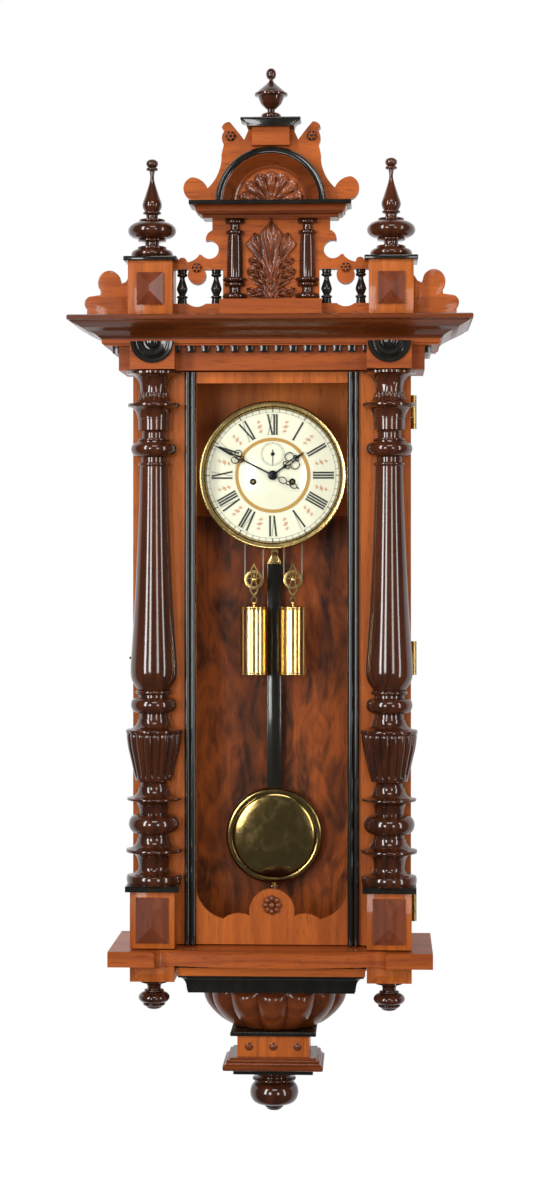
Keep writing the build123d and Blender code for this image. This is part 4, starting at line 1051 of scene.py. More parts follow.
def oval(x: float, z: float, half_width: float, half_height: float, start: float = 0.0, sweep: float = 360.0,
         steps: int = 32) -> list[Point2]:
    """Draw points on an oval arc.

    Args:
        x: The middle in metres.
        z: The middle in metres.
        half_width: Half its width.
        half_height: Half its height.
        start: The first angle in degrees.
        sweep: The angle that it covers.
        steps: How many stretches it has.

    Returns:
        X and Z of its points.
    """
    count = steps if abs(sweep) >= 360 else steps + 1
    spots = []
    for k in range(count):
        turn = math.radians(start + sweep * k / steps)
        spots.append((x + half_width * math.cos(turn), z + half_height * math.sin(turn)))
    return spots


def radial(centre: Point2, reach: float, angle: float) -> Point2:
    """Find a point at a reach and an angle from a centre.

    Args:
        centre: X and Z of the centre.
        reach: The distance in metres.
        angle: The angle in degrees from +X towards +Z.

    Returns:
        X and Z of the point.
    """
    turn = math.radians(angle)
    return centre[0] + reach * math.cos(turn), centre[1] + reach * math.sin(turn)


SIDES = (-1, 1)


# Camera, light and backdrop

@dataclass(frozen=True)
class Studio:
    """The camera, placed in millimetres, and a soft studio round the clock."""

    lens: float = 72.24
    eye: tuple[float, float, float] = (136.4, -3150.0, -270.0)
    turn: float = 2.53
    shift: float = -0.0375

    def camera(self) -> None:
        """Put the camera where the photograph's was."""
        data = bpy.data.cameras.new("camera")
        data.lens = self.lens
        data.sensor_width = 36.0
        data.shift_y = self.shift
        data.clip_end = 50.0
        camera = bpy.data.objects.new("camera", data)
        camera.location = [side * MM for side in self.eye]
        camera.rotation_euler = (math.pi / 2, 0, math.radians(self.turn))
        bpy.context.collection.objects.link(camera)
        bpy.context.scene.camera = camera

    def panel(self, name: str, place: Sequence[float], size: Point2, power: float) -> None:
        """Hang a soft box that faces the clock.

        Args:
            name: Its name.
            place: Where it is in metres.
            size: Its width and height in metres.
            power: Its power in watts.
        """
        data = bpy.data.lights.new(name, "AREA")
        data.shape = "RECTANGLE"
        data.size, data.size_y = size
        data.energy = power
        light = bpy.data.objects.new(name, data)
        light.location = place
        light.rotation_euler = (Vector((0, 0, -0.25)) - Vector(place)).to_track_quat("-Z", "Y").to_euler()
        bpy.context.collection.objects.link(light)

    def world(self) -> None:
        """Make a world that is white to the camera and a dim room to everything else."""
        world = bpy.data.worlds.new("room")
        world.use_nodes = True
        bpy.context.scene.world = world
        graph = Graph(world.node_tree)
        seen = Value(graph, graph.node("ShaderNodeLightPath").outputs["Is Camera Ray"])
        glossy = Value(graph, graph.node("ShaderNodeLightPath").outputs["Is Glossy Ray"])
        room = graph.node("ShaderNodeBackground", None, {"Color": (0.97, 0.98, 1.0, 1),
                                                         "Strength": 0.34 - glossy * 0.24})
        white = graph.node("ShaderNodeBackground", None, {"Color": (1, 1, 1, 1), "Strength": 1.0})
        both = graph.node("ShaderNodeMixShader", None, {0: seen, 1: room.outputs[0], 2: white.outputs[0]})
        graph.node("ShaderNodeOutputWorld", None, {"Surface": both.outputs[0]})

    def backdrop(self) -> None:
        """Stand a white wall behind the clock, which can be seen through from its back."""
        mesh = bpy.data.meshes.new("backdrop")
        wall = 0.35
        mesh.from_pydata([(-6, wall, -4), (6, wall, -4), (6, wall, 4), (-6, wall, 4)], [], [(0, 1, 2, 3)])
        material = bpy.data.materials.new("white_wall")
        material.use_nodes = True
        graph = Graph(material.node_tree)
        seen = Value(graph, graph.node("ShaderNodeLightPath").outputs["Is Camera Ray"])
        matt = graph.node("ShaderNodeBsdfDiffuse", None, {"Color": (0.75, 0.75, 0.75, 1)})
        white = graph.node("ShaderNodeEmission", None, {"Color": (1, 1, 1, 1), "Strength": 1.0})
        both = graph.node("ShaderNodeMixShader", None, {0: seen, 1: matt.outputs[0], 2: white.outputs[0]})
        behind = graph.node("ShaderNodeNewGeometry").outputs["Backfacing"]
        clear = graph.node("ShaderNodeBsdfTransparent")
        wall_shader = graph.node("ShaderNodeMixShader", None,
                                 {0: behind, 1: both.outputs[0], 2: clear.outputs[0]})
        graph.node("ShaderNodeOutputMaterial", None, {"Surface": wall_shader.outputs[0]})
        mesh.materials.append(material)
        wall_object = bpy.data.objects.new("backdrop", mesh)
        bpy.context.collection.objects.link(wall_object)

    def build(self) -> None:
        """Set up the camera, the lights and the backdrop."""
        self.camera()
        self.world()
        self.backdrop()
        self.panel("key", (-2.2, -2.6, 0.6), (0.55, 3.0), 86)
        self.panel("fill", (2.6, -1.9, 0.0), (0.4, 2.8), 34)
        self.panel("left", (-1.35, -4.3, -0.1), (0.7, 1.4), 42)
        self.panel("right", (1.65, -4.3, -0.2), (0.7, 1.4), 26)
        self.panel("top", (0.3, -3.4, 2.3), (1.6, 1.0), 34)
        scene = bpy.context.scene
        scene.view_settings.view_transform = "Standard"


# Weight lines

@dataclass(frozen=True)
class WeightLine:
    """A gut line from the barrel round the pulley and back up, in millimetres as in the CAD model."""

    name: str
    side: int
    spacing: float = 25.0
    offset: float = 11.65
    depth: float = -62.0
    top: float = -176.8
    pulley: float = -301.7
    bar: float = -193.8
    diameter: float = 1.2
    near_pulley: float = 8.0

    def route(self) -> list[tuple[float, float, float]]:
        """Give the control points, with one on each run near the pulley.

        Returns:
            Points in metres.
        """
        lean = 0.414 * self.offset
        levels = (
            (1, self.top), (1, self.pulley + self.near_pulley), (1, self.pulley - lean),
            (0.414, self.pulley - self.offset), (-0.414, self.pulley - self.offset),
            (-1, self.pulley - lean), (-1, self.pulley + self.near_pulley), (-1, self.bar),
        )
        return [(self.side * (self.spacing + out * self.offset) * MM, self.depth * MM, z * MM)
                for out, z in levels]

    def build(self) -> None:
        """Make the line, which rides on no body."""
        curve = bpy.data.curves.new(self.name + "_route", "CURVE")
        curve.dimensions = "3D"
        curve.resolution_u = 24
        spline = curve.splines.new("NURBS")
        route = self.route()
        spline.points.add(len(route) - 1)
        for point, place in zip(spline.points, route):
            point.co = (*place, 1)
        spline.order_u = 3
        spline.use_endpoint_u = True
        guide = bpy.data.objects.new(self.name + "_guide", curve)
        bpy.context.collection.objects.link(guide)
        path = [v.co.copy() for v in bpy.data.meshes.new_from_object(guide).vertices]
        bpy.data.objects.remove(guide)
        sides = 12
        radius = self.diameter / 2 * MM
        points: list[Vector] = []
        for k, place in enumerate(path):
            ahead = (path[min(k + 1, len(path) - 1)] - path[max(k - 1, 0)]).normalized()
            out = Vector((0, 1, 0))
            wide = ahead.cross(out).normalized()
            for side in range(sides):
                turn = math.tau * side / sides
                points.append(place + radius * (math.cos(turn) * out + math.sin(turn) * wide))
        faces = grid(len(path) - 1, sides)
        faces += [tuple(range(sides)), tuple(range(len(points) - sides, len(points)))]
        line = add_piece(self.name + "_gut", points, faces, GUT, None, (self.name,), 60)
        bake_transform(line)


# The case and its mouldings

@dataclass(frozen=True)
class Cornices:
    """Mouldings that run round the case, with the pitch of their arches in millimetres."""

    pitch: float = 19.1

    def main(self) -> None:
        """Run the main cornice: a top fillet, a deep cyma, a lighter fillet and a bed mould."""
        half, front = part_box("frieze")[1].x, FRIEZE_FRONT
        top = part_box("main_cornice")[1].z
        upper = Profile(0).to(57.0).to(58.8, 1.2).to(58.8, 4.6).to(56.2, 0.8)
        upper.smooth([(52, 3), (43, 4.6), (33.5, 4.4), (26, 4.0), (22.5, 2.8)]).to(21, 0.4).to(21, 1.8).to(0)
        add_piece("cornice_cyma", *run_round(upper, half, front, top), CORNICE, "case", ("main_cornice",))
        lower = Profile(0).to(19.5).to(19.5, 5.4).to(16.8, 0.8).to(16.8, 1.6).to(0)
        add_piece("cornice_fillet", *run_round(lower, half, front, top - upper.height() * MM), BOARD, "case")

    def arcade(self, run: float) -> list[Point2]:
        """Draw a strip of small arches that hangs down.

        Args:
            run: Its length in metres.

        Returns:
            Distance along and level of its corners, from its middle.
        """
        count = round(run / (self.pitch * MM))
        pitch = run / count
        tall = 13.5 * MM
        corners = [(run / 2, 0.0), (-run / 2, 0.0), (-run / 2, -tall)]
        for k in range(count):
            left = -run / 2 + k * pitch
            corners.append((left + 0.24 * pitch, -tall))
            corners += [(x, z) for x, z in oval(left + pitch / 2, -0.62 * tall, 0.26 * pitch, 0.4 * tall,
                                                180, -180, 8)]
            corners.append((left + 0.76 * pitch, -tall))
        corners.append((run / 2, -tall))
        return corners

    def dentils(self) -> None:
        """Hang the arcaded strips under the cornice, on the front and both sides."""
        top = -2.0 * MM
        face = FRIEZE_FRONT - 8.5 * MM
        run = 2 * (COLUMN_X - 0.0285)
        strip = plate([(x, z + top) for x, z in self.arcade(run)], face, -0.1245, 0.5)
        pieces = [strip]
        length = 0.1
        for side in SIDES:
            points, faces = plate([(x, z + top) for x, z in self.arcade(length)], 0, 7.5 * MM, 0.5)
            edge = side * (0.1925 + 8.5 * MM)
            pieces.append(([Vector((edge - side * p.y, -0.07 + side * p.x, p.z)) for p in points], faces))
        add_piece("arcaded_dentils", *joined(pieces), EBONY, "case", ("dentil_band",))

    def base(self) -> None:
        """Run the mouldings under the shelf, with dentils."""
        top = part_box("base_moulding")[1].z
        half, front = 0.096, -0.120
        light = Profile(0).to(21.5).to(21.5, 4.2).to(0)
        wood = Profile(0).to(23, 0).bead(0.8, 2.2).to(22, 0.4).to(22, 7.5).to(20.5, 0.8).to(0)
        dark = Profile(0).to(20).bead(0.6, 2).quarter(10.5, 14, True).to(10, 0.5).to(10, 3.4).to(9,
                                                                                                 0.8).to(9, 2).to(0)
        level = top
        for name, profile, finish in (("base_ground", light, EBONY), ("base_band", wood, VENEER_ACROSS),
                                      ("base_hollow", dark, EBONY)):
            stands_for = ("base_moulding",) if name == "base_band" else ()
            add_piece(name, *run_round(profile, half, front, level), finish, "case", stands_for)
            level -= profile.height() * MM
        pieces = []
        count = 12
        pitch = 2 * (half + 0.0215) / count
        for k in range(count):
            x = -half - 0.0215 + (k + 0.5) * pitch
            pieces.append(block((x - 0.29 * pitch, front - 0.0240, top - 0.0042),
                                (x + 0.29 * pitch, front - 0.0200, top)))
        add_piece("base_dentils", *joined(pieces), CORNICE, "case")

    def crest(self) -> None:
        """Run the small cornice of the crest, with a black top fillet."""
        half, front = 0.082, -0.148
        black = Profile(0).to(18.6).to(19, 0.5).to(19, 4.2).to(17.4, 0.9).to(0)
        wood = Profile(0).to(16.8).quarter(11.4, 4.4, True).to(11, 0.2).to(11, 2.6).to(9, 0.4)
        wood.quarter(4.0, 3.4, False).to(3.4, 0.2).to(3.4, 2.2).to(2, 0.4).to(2, 0.8).to(0)
        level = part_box("crest_cornice")[1].z
        for name, profile, finish in (("crest_fillet", black, EBONY), ("crest_mould", wood, CORNICE)):
            points, faces = run_round(profile, half, front, level)
            points = [Vector((p.x, min(p.y, -0.1145), p.z)) for p in points]
            stands_for = ("crest_cornice",) if name == "crest_mould" else ()
            add_piece(name, points, faces, finish, "crest", stands_for)
            level -= profile.height() * MM

    def bosses(self) -> None:
        """Set the half roundels on the corner blocks and the studs on the console."""
        top = -3.0 * MM
        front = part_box("frieze")[0].y
        pieces = []
        for side in SIDES:
            rings = Profile(0.1).quarter(8.6, 4, False).to(9, 4.6).to(10.5, 0.2)
            rings.points += [(12.5, 2.6), (16.8, 2.2), (18.4, 3.2), (19.2, 8.2), (20.8, 8.6), (22.4, 5.8),
                             (25.4, 5.6),
                             (27, 6.8), (27.2, 9.8)]
            pieces.append(faced(rings, side * COLUMN_X, top, front - 9.5 * MM, 48, None, 180, 180))
        add_piece("roundels", *joined(pieces), EBONY, "case", ("case_bosses",))
        stud = Profile(0.1).quarter(4.2, 2.4, False).to(5, 0.2).to(5, 0.6)
        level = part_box("console_block")[1].z - 0.019
        studs = [faced(stud, 0.031 * k, level, -0.0755, 32) for k in (-1, 0, 1)]
        add_piece("console_studs", *joined(studs), CORNICE, "case")

    def build(self) -> None:
        """Make every moulding."""
        self.main()
        self.dentils()
        self.base()
        self.crest()
        self.bosses()


@dataclass(frozen=True)
class Console:
    """The gadrooned bowl, sized in millimetres, the block under it and the turned drops."""

    lobes: int = 7
    half: float = 98.0
    depth: float = 112.0

    def bowl(self) -> None:
        """Shape the bowl as tall lobes that meet in sharp valleys."""
        low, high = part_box("console_bowl")
        rows, sides = 26, self.lobes * 14
        points: list[Vector] = []
        for row in range(rows + 1):
            share = row / rows
            belly = 0.60 + 0.40 * math.sin(min(share * 1.12, 1) * math.pi / 2) ** 0.75
            if share > 0.9:
                belly *= 1 - 0.06 * ((share - 0.9) / 0.1) ** 2
            for k in range(sides + 1):
                turn = math.pi * k / sides
                lobe = abs(math.sin(self.lobes * turn)) ** 0.75
                swell = 0.90 + 0.10 * lobe * (0.35 + 0.65 * math.sin(math.pi * min(share + 0.12, 1)) ** 0.5)
                reach = belly * swell * MM
                points.append(Vector((self.half * reach * math.cos(turn),
                                      -self.depth * reach * math.sin(turn),
                                      low.z + (high.z - low.z) * share)))
        wide = sides + 1
        faces = grid(rows, wide, False)
        faces += [tuple(range(wide)), tuple(range(rows * wide, (rows + 1) * wide))]
        add_piece("gadrooned_bowl", points, faces, CORNICE, "case", ("console_bowl",), 50)

    def block(self) -> None:
        """Stack the plate, the block, the foot moulding and the lower plate."""
        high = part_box("console_block")[1]
        upper = Profile(0).to(54, 0).bead(1, 5.5).to(0)
        add_piece("bowl_plate", *run_round(upper, 0.0, -0.021, high.z), EBONY, "case")
        middle = Profile(0).to(46, 0).to(46, 26).to(0)
        level = high.z - 0.006
        add_piece("console_body", *run_round(middle, 0.0, -0.026, level), STILE, "case", ("console_block",))
        foot = Profile(0).to(55).to(55, 2).to(58, 0.4).bead(1.2, 3).to(60, 0.4).quarter(64, 3.4, True)
        foot.to(64, 4.0).quarter(60, 3.0, False).to(56, 0.8).to(0)
        add_piece("console_foot", *run_round(foot, 0.0, -0.024, level - 0.026), CORNICE, "case")
        lower = Profile(0).to(51).to(51, 5).to(49, 0.8).to(0)
        add_piece("console_plate", *run_round(lower, 0.0, -0.025, level - 0.026 - foot.height() * MM), EBONY,
                  "case")

    def drops(self) -> None:
        """Turn the large bottom ball and the drops under the shelf's ends."""
        ball = Profile(0).to(25).bead(1, 4, 24).to(22, 0.6).bead(-1, 3, 22).to(27, 0.6).bead(1.2, 3).to(22,
                                                                                                        0.6)
        ball.to(21, 1.5).bead(10.3, 28, 21).to(20, 0.4).to(13, 2.2).to(12, 0.4).bead(1, 3, 10).quarter(0.1,
                                                                                                       4, False)
        drop = Profile(0).to(17).to(17, 4.5).quarter(8.6, 6, True).to(8.4, 3).to(11.5, 0.4).bead(1,
                                                                                                 2.2).to(10, 0.4)
        drop.bead(9.5, 14, 10.5).to(13, 0.4).bead(2.2, 4, 10).quarter(0.1, 4, False)
        pieces = [turned(ball, 0, -0.040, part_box("console_block")[0].z, 72)]
        for side in SIDES:
            pieces.append(turned(drop, side * COLUMN_X, COLUMN_Y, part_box("drop_blocks")[0].z, 56))
        add_piece("turned_drops", *joined(pieces), TURNED, "case", ("lower_finials",))

    def blocks(self) -> None:
        """Make the bevelled blocks that the drops hang from."""
        low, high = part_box("drop_blocks")
        pieces = []
        for side in SIDES:
            x = side * COLUMN_X
            pieces.append(block((x - 0.028, -0.151, low.z), (x + 0.028, -0.001, high.z), 0.7))
            pieces.append(hipped(x, (low.z + high.z) / 2, 0.0225, 0.0078, -0.151, 0.0028))
        add_piece("bevelled_blocks", *joined(pieces), STILE, "case", ("drop_blocks",), 8)

    def build(self) -> None:
        """Make the console."""
        self.bowl()
        self.block()
        self.drops()
        self.blocks()


# The door

@dataclass(frozen=True)
class Columns:
    """The two turned columns of the door."""

    reeds: int = 18
    sides: int = 144

    def profile(self) -> Profile:
        """Draw the column from its capital to its foot.

        Returns:
            The profile.
        """
        form = Profile(0).to(32).to(33.6, 0.6).to(33.6, 2.6).quarter(17.7, 19, True).to(17.7, 3.6)
        form.to(18.6, 0.4).quarter(30.5, 12.6, True).to(32.4, 0.4).bead(0.8, 4).quarter(21, 14.4,
                                                                                        True).to(20.2, 0.6)
        form.to(20.0, 13.2).quarter(15.6, 4, True).to(15.6, 6).to(19.4, 0.4).bead(1, 3).to(21.6, 0.4).to(22,
                                                                                                         1.4)
        form.bead(8.2, 17.5, 20).to(17, 0.8).to(16.6, 5.8).to(18.6, 0.4).bead(1.8, 4.2).to(18.2,
                                                                                           0.6).to(18.4, 3.4)
        form.smooth([(19.2, 38.5), (21.6, 63), (24.6, 63), (28, 50.5), (29.7, 27), (28.2, 14), (21.4, 12)], 8)
        form.to(20.6, 0.4).bead(3, 5.6).to(20, 0.4).to(20, 3).to(22.4, 0.4).bead(7.6, 19, 21).to(18.8, 0.6)
        form.to(18.8, 5.4).to(20.4, 0.4).quarter(33.6, 13, True).to(34.6, 0.4).bead(1, 5).to(34.4, 0.6)
        form.smooth([(34.6, 4), (32.8, 13), (29.2, 15), (25.4, 16), (23.4, 8)], 5)
        form.to(23.4, 0.6).quarter(17.8, 4, True).to(17.8, 3).to(19.6, 0.4).quarter(31, 13, True).to(33.2,
                                                                                                     0.4)
        form.bead(0.9, 3).to(31, 0.4).quarter(19, 13, True).to(18.4, 3.2).to(21, 0.4).bead(11, 24,
                                                                                           21).to(19.8, 0.6)
        form.to(19.8, 3.4).to(21, 0.4).quarter(33.4, 13.4, True).to(34.4, 0.4).bead(0.9, 4).to(30, 0.6)
        form.quarter(20, 15.6, True).to(19.6, 2).quarter(31.6, 9, True).to(33.4, 0.6).bead(1.3,
                                                                                           10.4).to(34.2, 0.6)
        return form

    def wave(self, turn: float, drop: float) -> float:
        """Reed the urn, flute the bell and lobe the collar.

        Args:
            turn: The angle in radians.
            drop: How far down it is.

        Returns:
            The factor on the radius.
        """
        valley = 1 - abs(math.cos(self.reeds * turn / 2))
        if 452 < drop < 512:
            return 1 - 0.085 * valley ** 1.5 * min((drop - 452) / 5, (512 - drop) / 5, 1)
        if 27 < drop < 40:
            return 1 - 0.09 * valley ** 1.5 * min((drop - 27) / 3, (40 - drop) / 3, 1)
        if drop < 21:
            return 1 - 0.05 * (1 - abs(math.cos(4 * turn))) * min((21 - drop) / 8, 1)
        return 1.0

    def build(self) -> None:
        """Turn both columns and plane them to the stiles."""
        form = self.profile()
        for side, node in zip(SIDES, ("column_left", "column_right")):
            low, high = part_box(node)
            shape = turned(form.fit((high.z - low.z) / MM), side * COLUMN_X, COLUMN_Y, high.z, self.sides,
                           self.wave, -0.1141)
            add_piece(f"turned_{node}", *shape, TURNED, "door", (node,), 32)


@dataclass(frozen=True)
class DoorTrim:
    """Pedestals with hipped panels, double beads and the rosette on the bottom rail."""

    def build(self) -> None:
        """Make the door's trim."""
        low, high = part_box("door_pedestals")
        bodies = []
        panels = []
        for side in SIDES:
            x = side * COLUMN_X
            bodies.append(block((x - 0.028, -0.151, low.z), (x + 0.028, -0.1139, high.z), 0.6))
            panels.append(hipped(x, (low.z + high.z) / 2, 0.0205, 0.0285, -0.1508, 0.0078))
        add_piece("pedestal_blocks", *joined(bodies), STILE, "door", ("door_pedestals",))
        add_piece("pedestal_panels", *joined(panels), PANEL, "door", (), 8)
        rose_low, rose_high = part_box("rail_rosette")
        middle = (rose_low.z + rose_high.z) / 2
        add_piece("carved_rosette", *rosette(0, middle, 0.0126, rose_high.y, 0.0062), CARVED, "door",
                  ("rail_rosette",))
        bead_low, bead_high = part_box("door_beads")
        reeds = []
        for side in SIDES:
            for middle, reach in ((0.0995, 0.0040), (0.1068, 0.0035)):
                form = Profile(0.1).to(reach / MM, 0.4).to(reach / MM,
                                                           (bead_high.z - bead_low.z) / MM - 0.8).to(0.1, 0.4)
                reeds.append(turned(form, side * middle, -0.1150, bead_high.z, 24, None, -0.1141))
        add_piece("double_beads", *joined(reeds), EBONY, "door", ("door_beads",))


# The crest

@dataclass(frozen=True)
class CrestTurnings:
    """Finials, half columns and spindles of the crest."""

    def side_finial(self) -> Profile:
        """Draw a corner finial.

        Returns:
            The profile.
        """
        form = Profile(0.2).quarter(7.6, 5, False).quarter(4, 4.6, False).to(5.4, 0.4).bead(2.1, 3.6).to(3.4,
                                                                                                         0.6)
        form.smooth([(2.5, 6), (3.4, 7), (8.6, 15), (12.2, 10), (11.2, 5.4), (9.2, 3)], 5)
        form.to(9.4, 0.4).bead(2.2, 3.4).to(8.2, 0.4).bead(-0.8, 5).to(15.6, 0.4).bead(0.8, 2.4).to(14.6, 0.4)
        form.bead(15.2, 20, 16).to(17, 0.4).bead(0.8, 2.4).to(9.8, 0.4).bead(-0.8, 5.4).to(17.6,
                                                                                           0.4).bead(0.8, 3)
        return form.to(20.4, 0.4).bead(5.2, 9, 22).to(22, 0.6).fit(125)

    def top_finial(self) -> Profile:
        """Draw the middle finial.

        Returns:
            The profile.
        """
        form = Profile(0.2).quarter(6.4, 6.4, False).quarter(2.6, 5.6, False).to(2.5, 2)
        form.smooth([(5.6, 3), (14.6, 6.6), (18.4, 3.4)], 5).to(20.2, 0.4).bead(0.6, 3.2).to(16.4, 0.6)
        form.smooth([(14.8, 4), (12, 4.6), (6, 5)], 5).to(4.8, 0.4).to(4.8, 4).to(9.6, 0.4).bead(3,
                                                                                                 6).to(10.4, 0.6)
        return form.fit(64.5)

    def half_column(self, height: float) -> Profile:
        """Draw a half column.

        Args:
            height: Its height in millimetres.

        Returns:
            The profile.
        """
        head = Profile(0).to(10.4).bead(2.4, 6).to(6.6, 0.4).bead(-0.4, 7).to(9.6, 0.4).bead(2.5, 5).to(8.8,
                                                                                                        0.4)
        foot = Profile(0).to(11.6).bead(4, 5.6).to(10, 0.4).bead(3.6, 6).to(8, 0.4).bead(-0.6, 7).to(11.8,
                                                                                                     0.4)
        foot.bead(4, 8).to(12, 0.4)
        shaft = height - head.height() - foot.height()
        head.bead(0.8, shaft, 10.2)
        drop = head.height()
        head.points += [(reach, drop + more) for reach, more in foot.points[1:]]
        return head

    def spindle(self, height: float) -> Profile:
        """Draw a spindle.

        Args:
            height: Its height in millimetres.

        Returns:
            The profile.
        """
        form = Profile(0).to(5.8).to(6, 4).to(4.2, 0.4).bead(2.8, 4.6, 3.4)
        form.smooth([(3.3, 3), (6.2, 9), (6.8, 4), (3.8, 7)], 4).to(5, 0.4).bead(2, 3.6)
        rest = height - form.height()
        return form.to(5.6, 0.4).to(6.4, rest - 0.4)

    def build(self) -> None:
        """Turn them all."""
        side, top = self.side_finial(), self.top_finial()
        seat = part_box("crest_pedestals")[1].z + 0.006
        pieces = [turned(side, hand * PEDESTAL_X, COLUMN_Y, seat + side.height() * MM, 72) for hand in SIDES]
        pieces.append(turned(top, 0, -0.130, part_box("crest_caps")[1].z + top.height() * MM, 64))
        add_piece("turned_finials", *joined(pieces), TURNED, "crest", ("crest_finials",))
        low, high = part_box("crest_columns")
        column = self.half_column((high.z - low.z) / MM)
        halves = [turned(column, hand * 0.0455, -0.130, high.z, 56, None, -0.1295) for hand in SIDES]
        add_piece("half_columns", *joined(halves), TURNED, "crest", ("crest_columns",))
        low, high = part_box("crest_spindles")
        spindle = self.spindle((high.z - low.z) / MM)
        rods = [turned(spindle, hand * x, -0.122, high.z, 40) for hand in SIDES for x in (0.0695, 0.1125)]
        add_piece("turned_spindles", *joined(rods), EBONY, "crest", ("crest_spindles",))


@dataclass(frozen=True)
class CrestCarving:
    """Pedestals, arch, shell, leaves, scrolls and caps of the crest."""

    face: float = -0.130

    def pedestals(self) -> None:
        """Make the corner pedestals with pyramid panels, plates and scrolled wings."""
        low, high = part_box("crest_pedestals")
        bodies, panels, wings, plates = [], [], [], []
        for side in SIDES:
            x = side * PEDESTAL_X
            bodies.append(block((x - 0.028, -0.151, low.z), (x + 0.028, -0.095, high.z), 0.6))
            panels.append(hipped(x, (low.z + high.z) / 2, 0.0165, 0.0200, -0.1508, 0.0130))
            root = side * 0.1785
            outline = [(root, low.z), (root + side * 0.054, low.z), (root + side * 0.054, 0.038)]
            outline += oval(root + side * 0.048, 0.0465, 0.009 * side, 0.0095, -50, 140, 10)
            outline += [(root + side * 0.037, 0.0575)]
            outline += oval(root + side * 0.0255, 0.0725, 0.0145 * side, 0.0158, -40, 190, 16)
            outline += [(root + side * 0.0105, 0.0715), (root + side * 0.005, 0.074), (root, 0.082)]
            wings.append(plate(outline, -0.130, -0.116, 1.4))
            plates.append(block((x - 0.0335, -0.1565, high.z), (x + 0.0335, -0.0895, high.z + 0.0055), 1.2))
        add_piece("crest_pedestal_blocks", *joined(bodies), STILE, "crest", ("crest_pedestals",))
        add_piece("crest_pyramids", *joined(panels), PANEL, "crest", (), 8)
        add_piece("crest_wing_scrolls", *joined(wings), BOARD, "crest")
        low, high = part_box("crest_caps")
        cap = [(-0.0375, high.z), (-0.0375, high.z - 0.0030)] + oval(-0.0375, high.z - 0.0115, 0.008, 0.0085,
                                                                     90, -90, 8)
        cap = [(-x, z) for x, z in reversed(cap)] + cap
        plates.append(plate(cap, -0.152, -0.114, 0.8))
        add_piece("crest_cap_plates", *joined(plates), EBONY, "crest", ("crest_caps",))

    def arch(self) -> None:
        """Turn the half-round arch: a black band outside a deep brown cove."""
        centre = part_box("arch_moulding")[0].z
        band = Profile(60.5, 19.9).to(60.5, -17.5).to(61.6, -1.2).to(62.6, 0.4).quarter(67.6, -1.2,
                                                                                        False).to(69, 1.6).to(69, 18)
        cove = Profile(44, 19.6).to(44, -3.4).to(46, -1.2).to(47.2,
                                                              0.6).smooth([(49.6, -2.6), (54, -5.2),
                                                                           (59.4, -6.4)], 5)
        cove.to(60.6, -0.6)
        for name, profile, finish in (("arch_band", band, EBONY), ("arch_cove", cove, CORNICE)):
            stands_for = ("arch_moulding",) if name == "arch_band" else ()
            shape = faced(profile, 0, centre, self.face - 0.020, 72, None, 0, 180)
            add_piece(name, *shape, finish, "crest", stands_for)

    def scallop(self, turn: float, drop: float) -> float:
        """Ripple the boss of the shell, the same at every drop.

        Args:
            turn: The angle in radians.
            drop: How far back it is; not used.

        Returns:
            The factor on the radius.
        """
        return 1 - 0.06 * math.cos(9 * turn)

    def shell(self) -> None:
        """Carve the fan of the shell with its scalloped edge, and a boss at its hinge."""
        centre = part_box("arch_moulding")[0].z + 0.001
        ribs, rows = 7, 22
        sides = ribs * 12
        points: list[Vector] = []
        for row in range(rows + 1):
            share = row / rows
            for k in range(sides + 1):
                turn = math.pi * k / sides
                rib = abs(math.sin(ribs * turn))
                reach = 0.0405 * (0.12 + 0.88 * share) * (1 - 0.16 * (1 - rib ** 0.5) * share ** 2)
                lift = 0.0034 + 0.0052 * share ** 0.7 * (0.25 + 0.75 * rib ** 0.7) - 0.0016 * math.sin(9 * share)
                lift = lift if 0 < row < rows else 0.0
                points.append(Vector((reach * math.cos(turn), self.face - lift,
                                      centre + reach * math.sin(turn))))
        pieces = [(points, grid(rows, sides + 1, False))]
        boss = Profile(0.1).quarter(9, 5, False).to(9.6, 3)
        pieces.append(faced(boss, 0, centre, self.face - 0.0095, 40, self.scallop, 0, 180))
        for side in SIDES:
            path = [(side * 0.004, centre + 0.002), (side * 0.016, centre + 0.004),
                    (side * 0.029, centre + 0.0035),
                    (side * 0.0405, centre + 0.008)]
            pieces.append(carved_leaf(path, (0.004, 0.0075, 0.007, 0.002), self.face - 0.002, 0.0065, 4))
        add_piece("carved_shell", *joined(pieces), CARVED, "crest", ("shell_carving",), 50)

    def rib(self, spots: Sequence[Point2], side: int = 1) -> list[Point2]:
        """Place the rib of a leaf within the carving's height.

        Args:
            spots: X in metres and the share of the height, from the stalk to the tip.
            side: 1 for the right and -1 for the left.

        Returns:
            X and Z in metres.
        """
        low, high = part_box("leaf_carving")
        span = high.z - low.z
        return [(side * x, low.z + span * share) for x, share in spots]

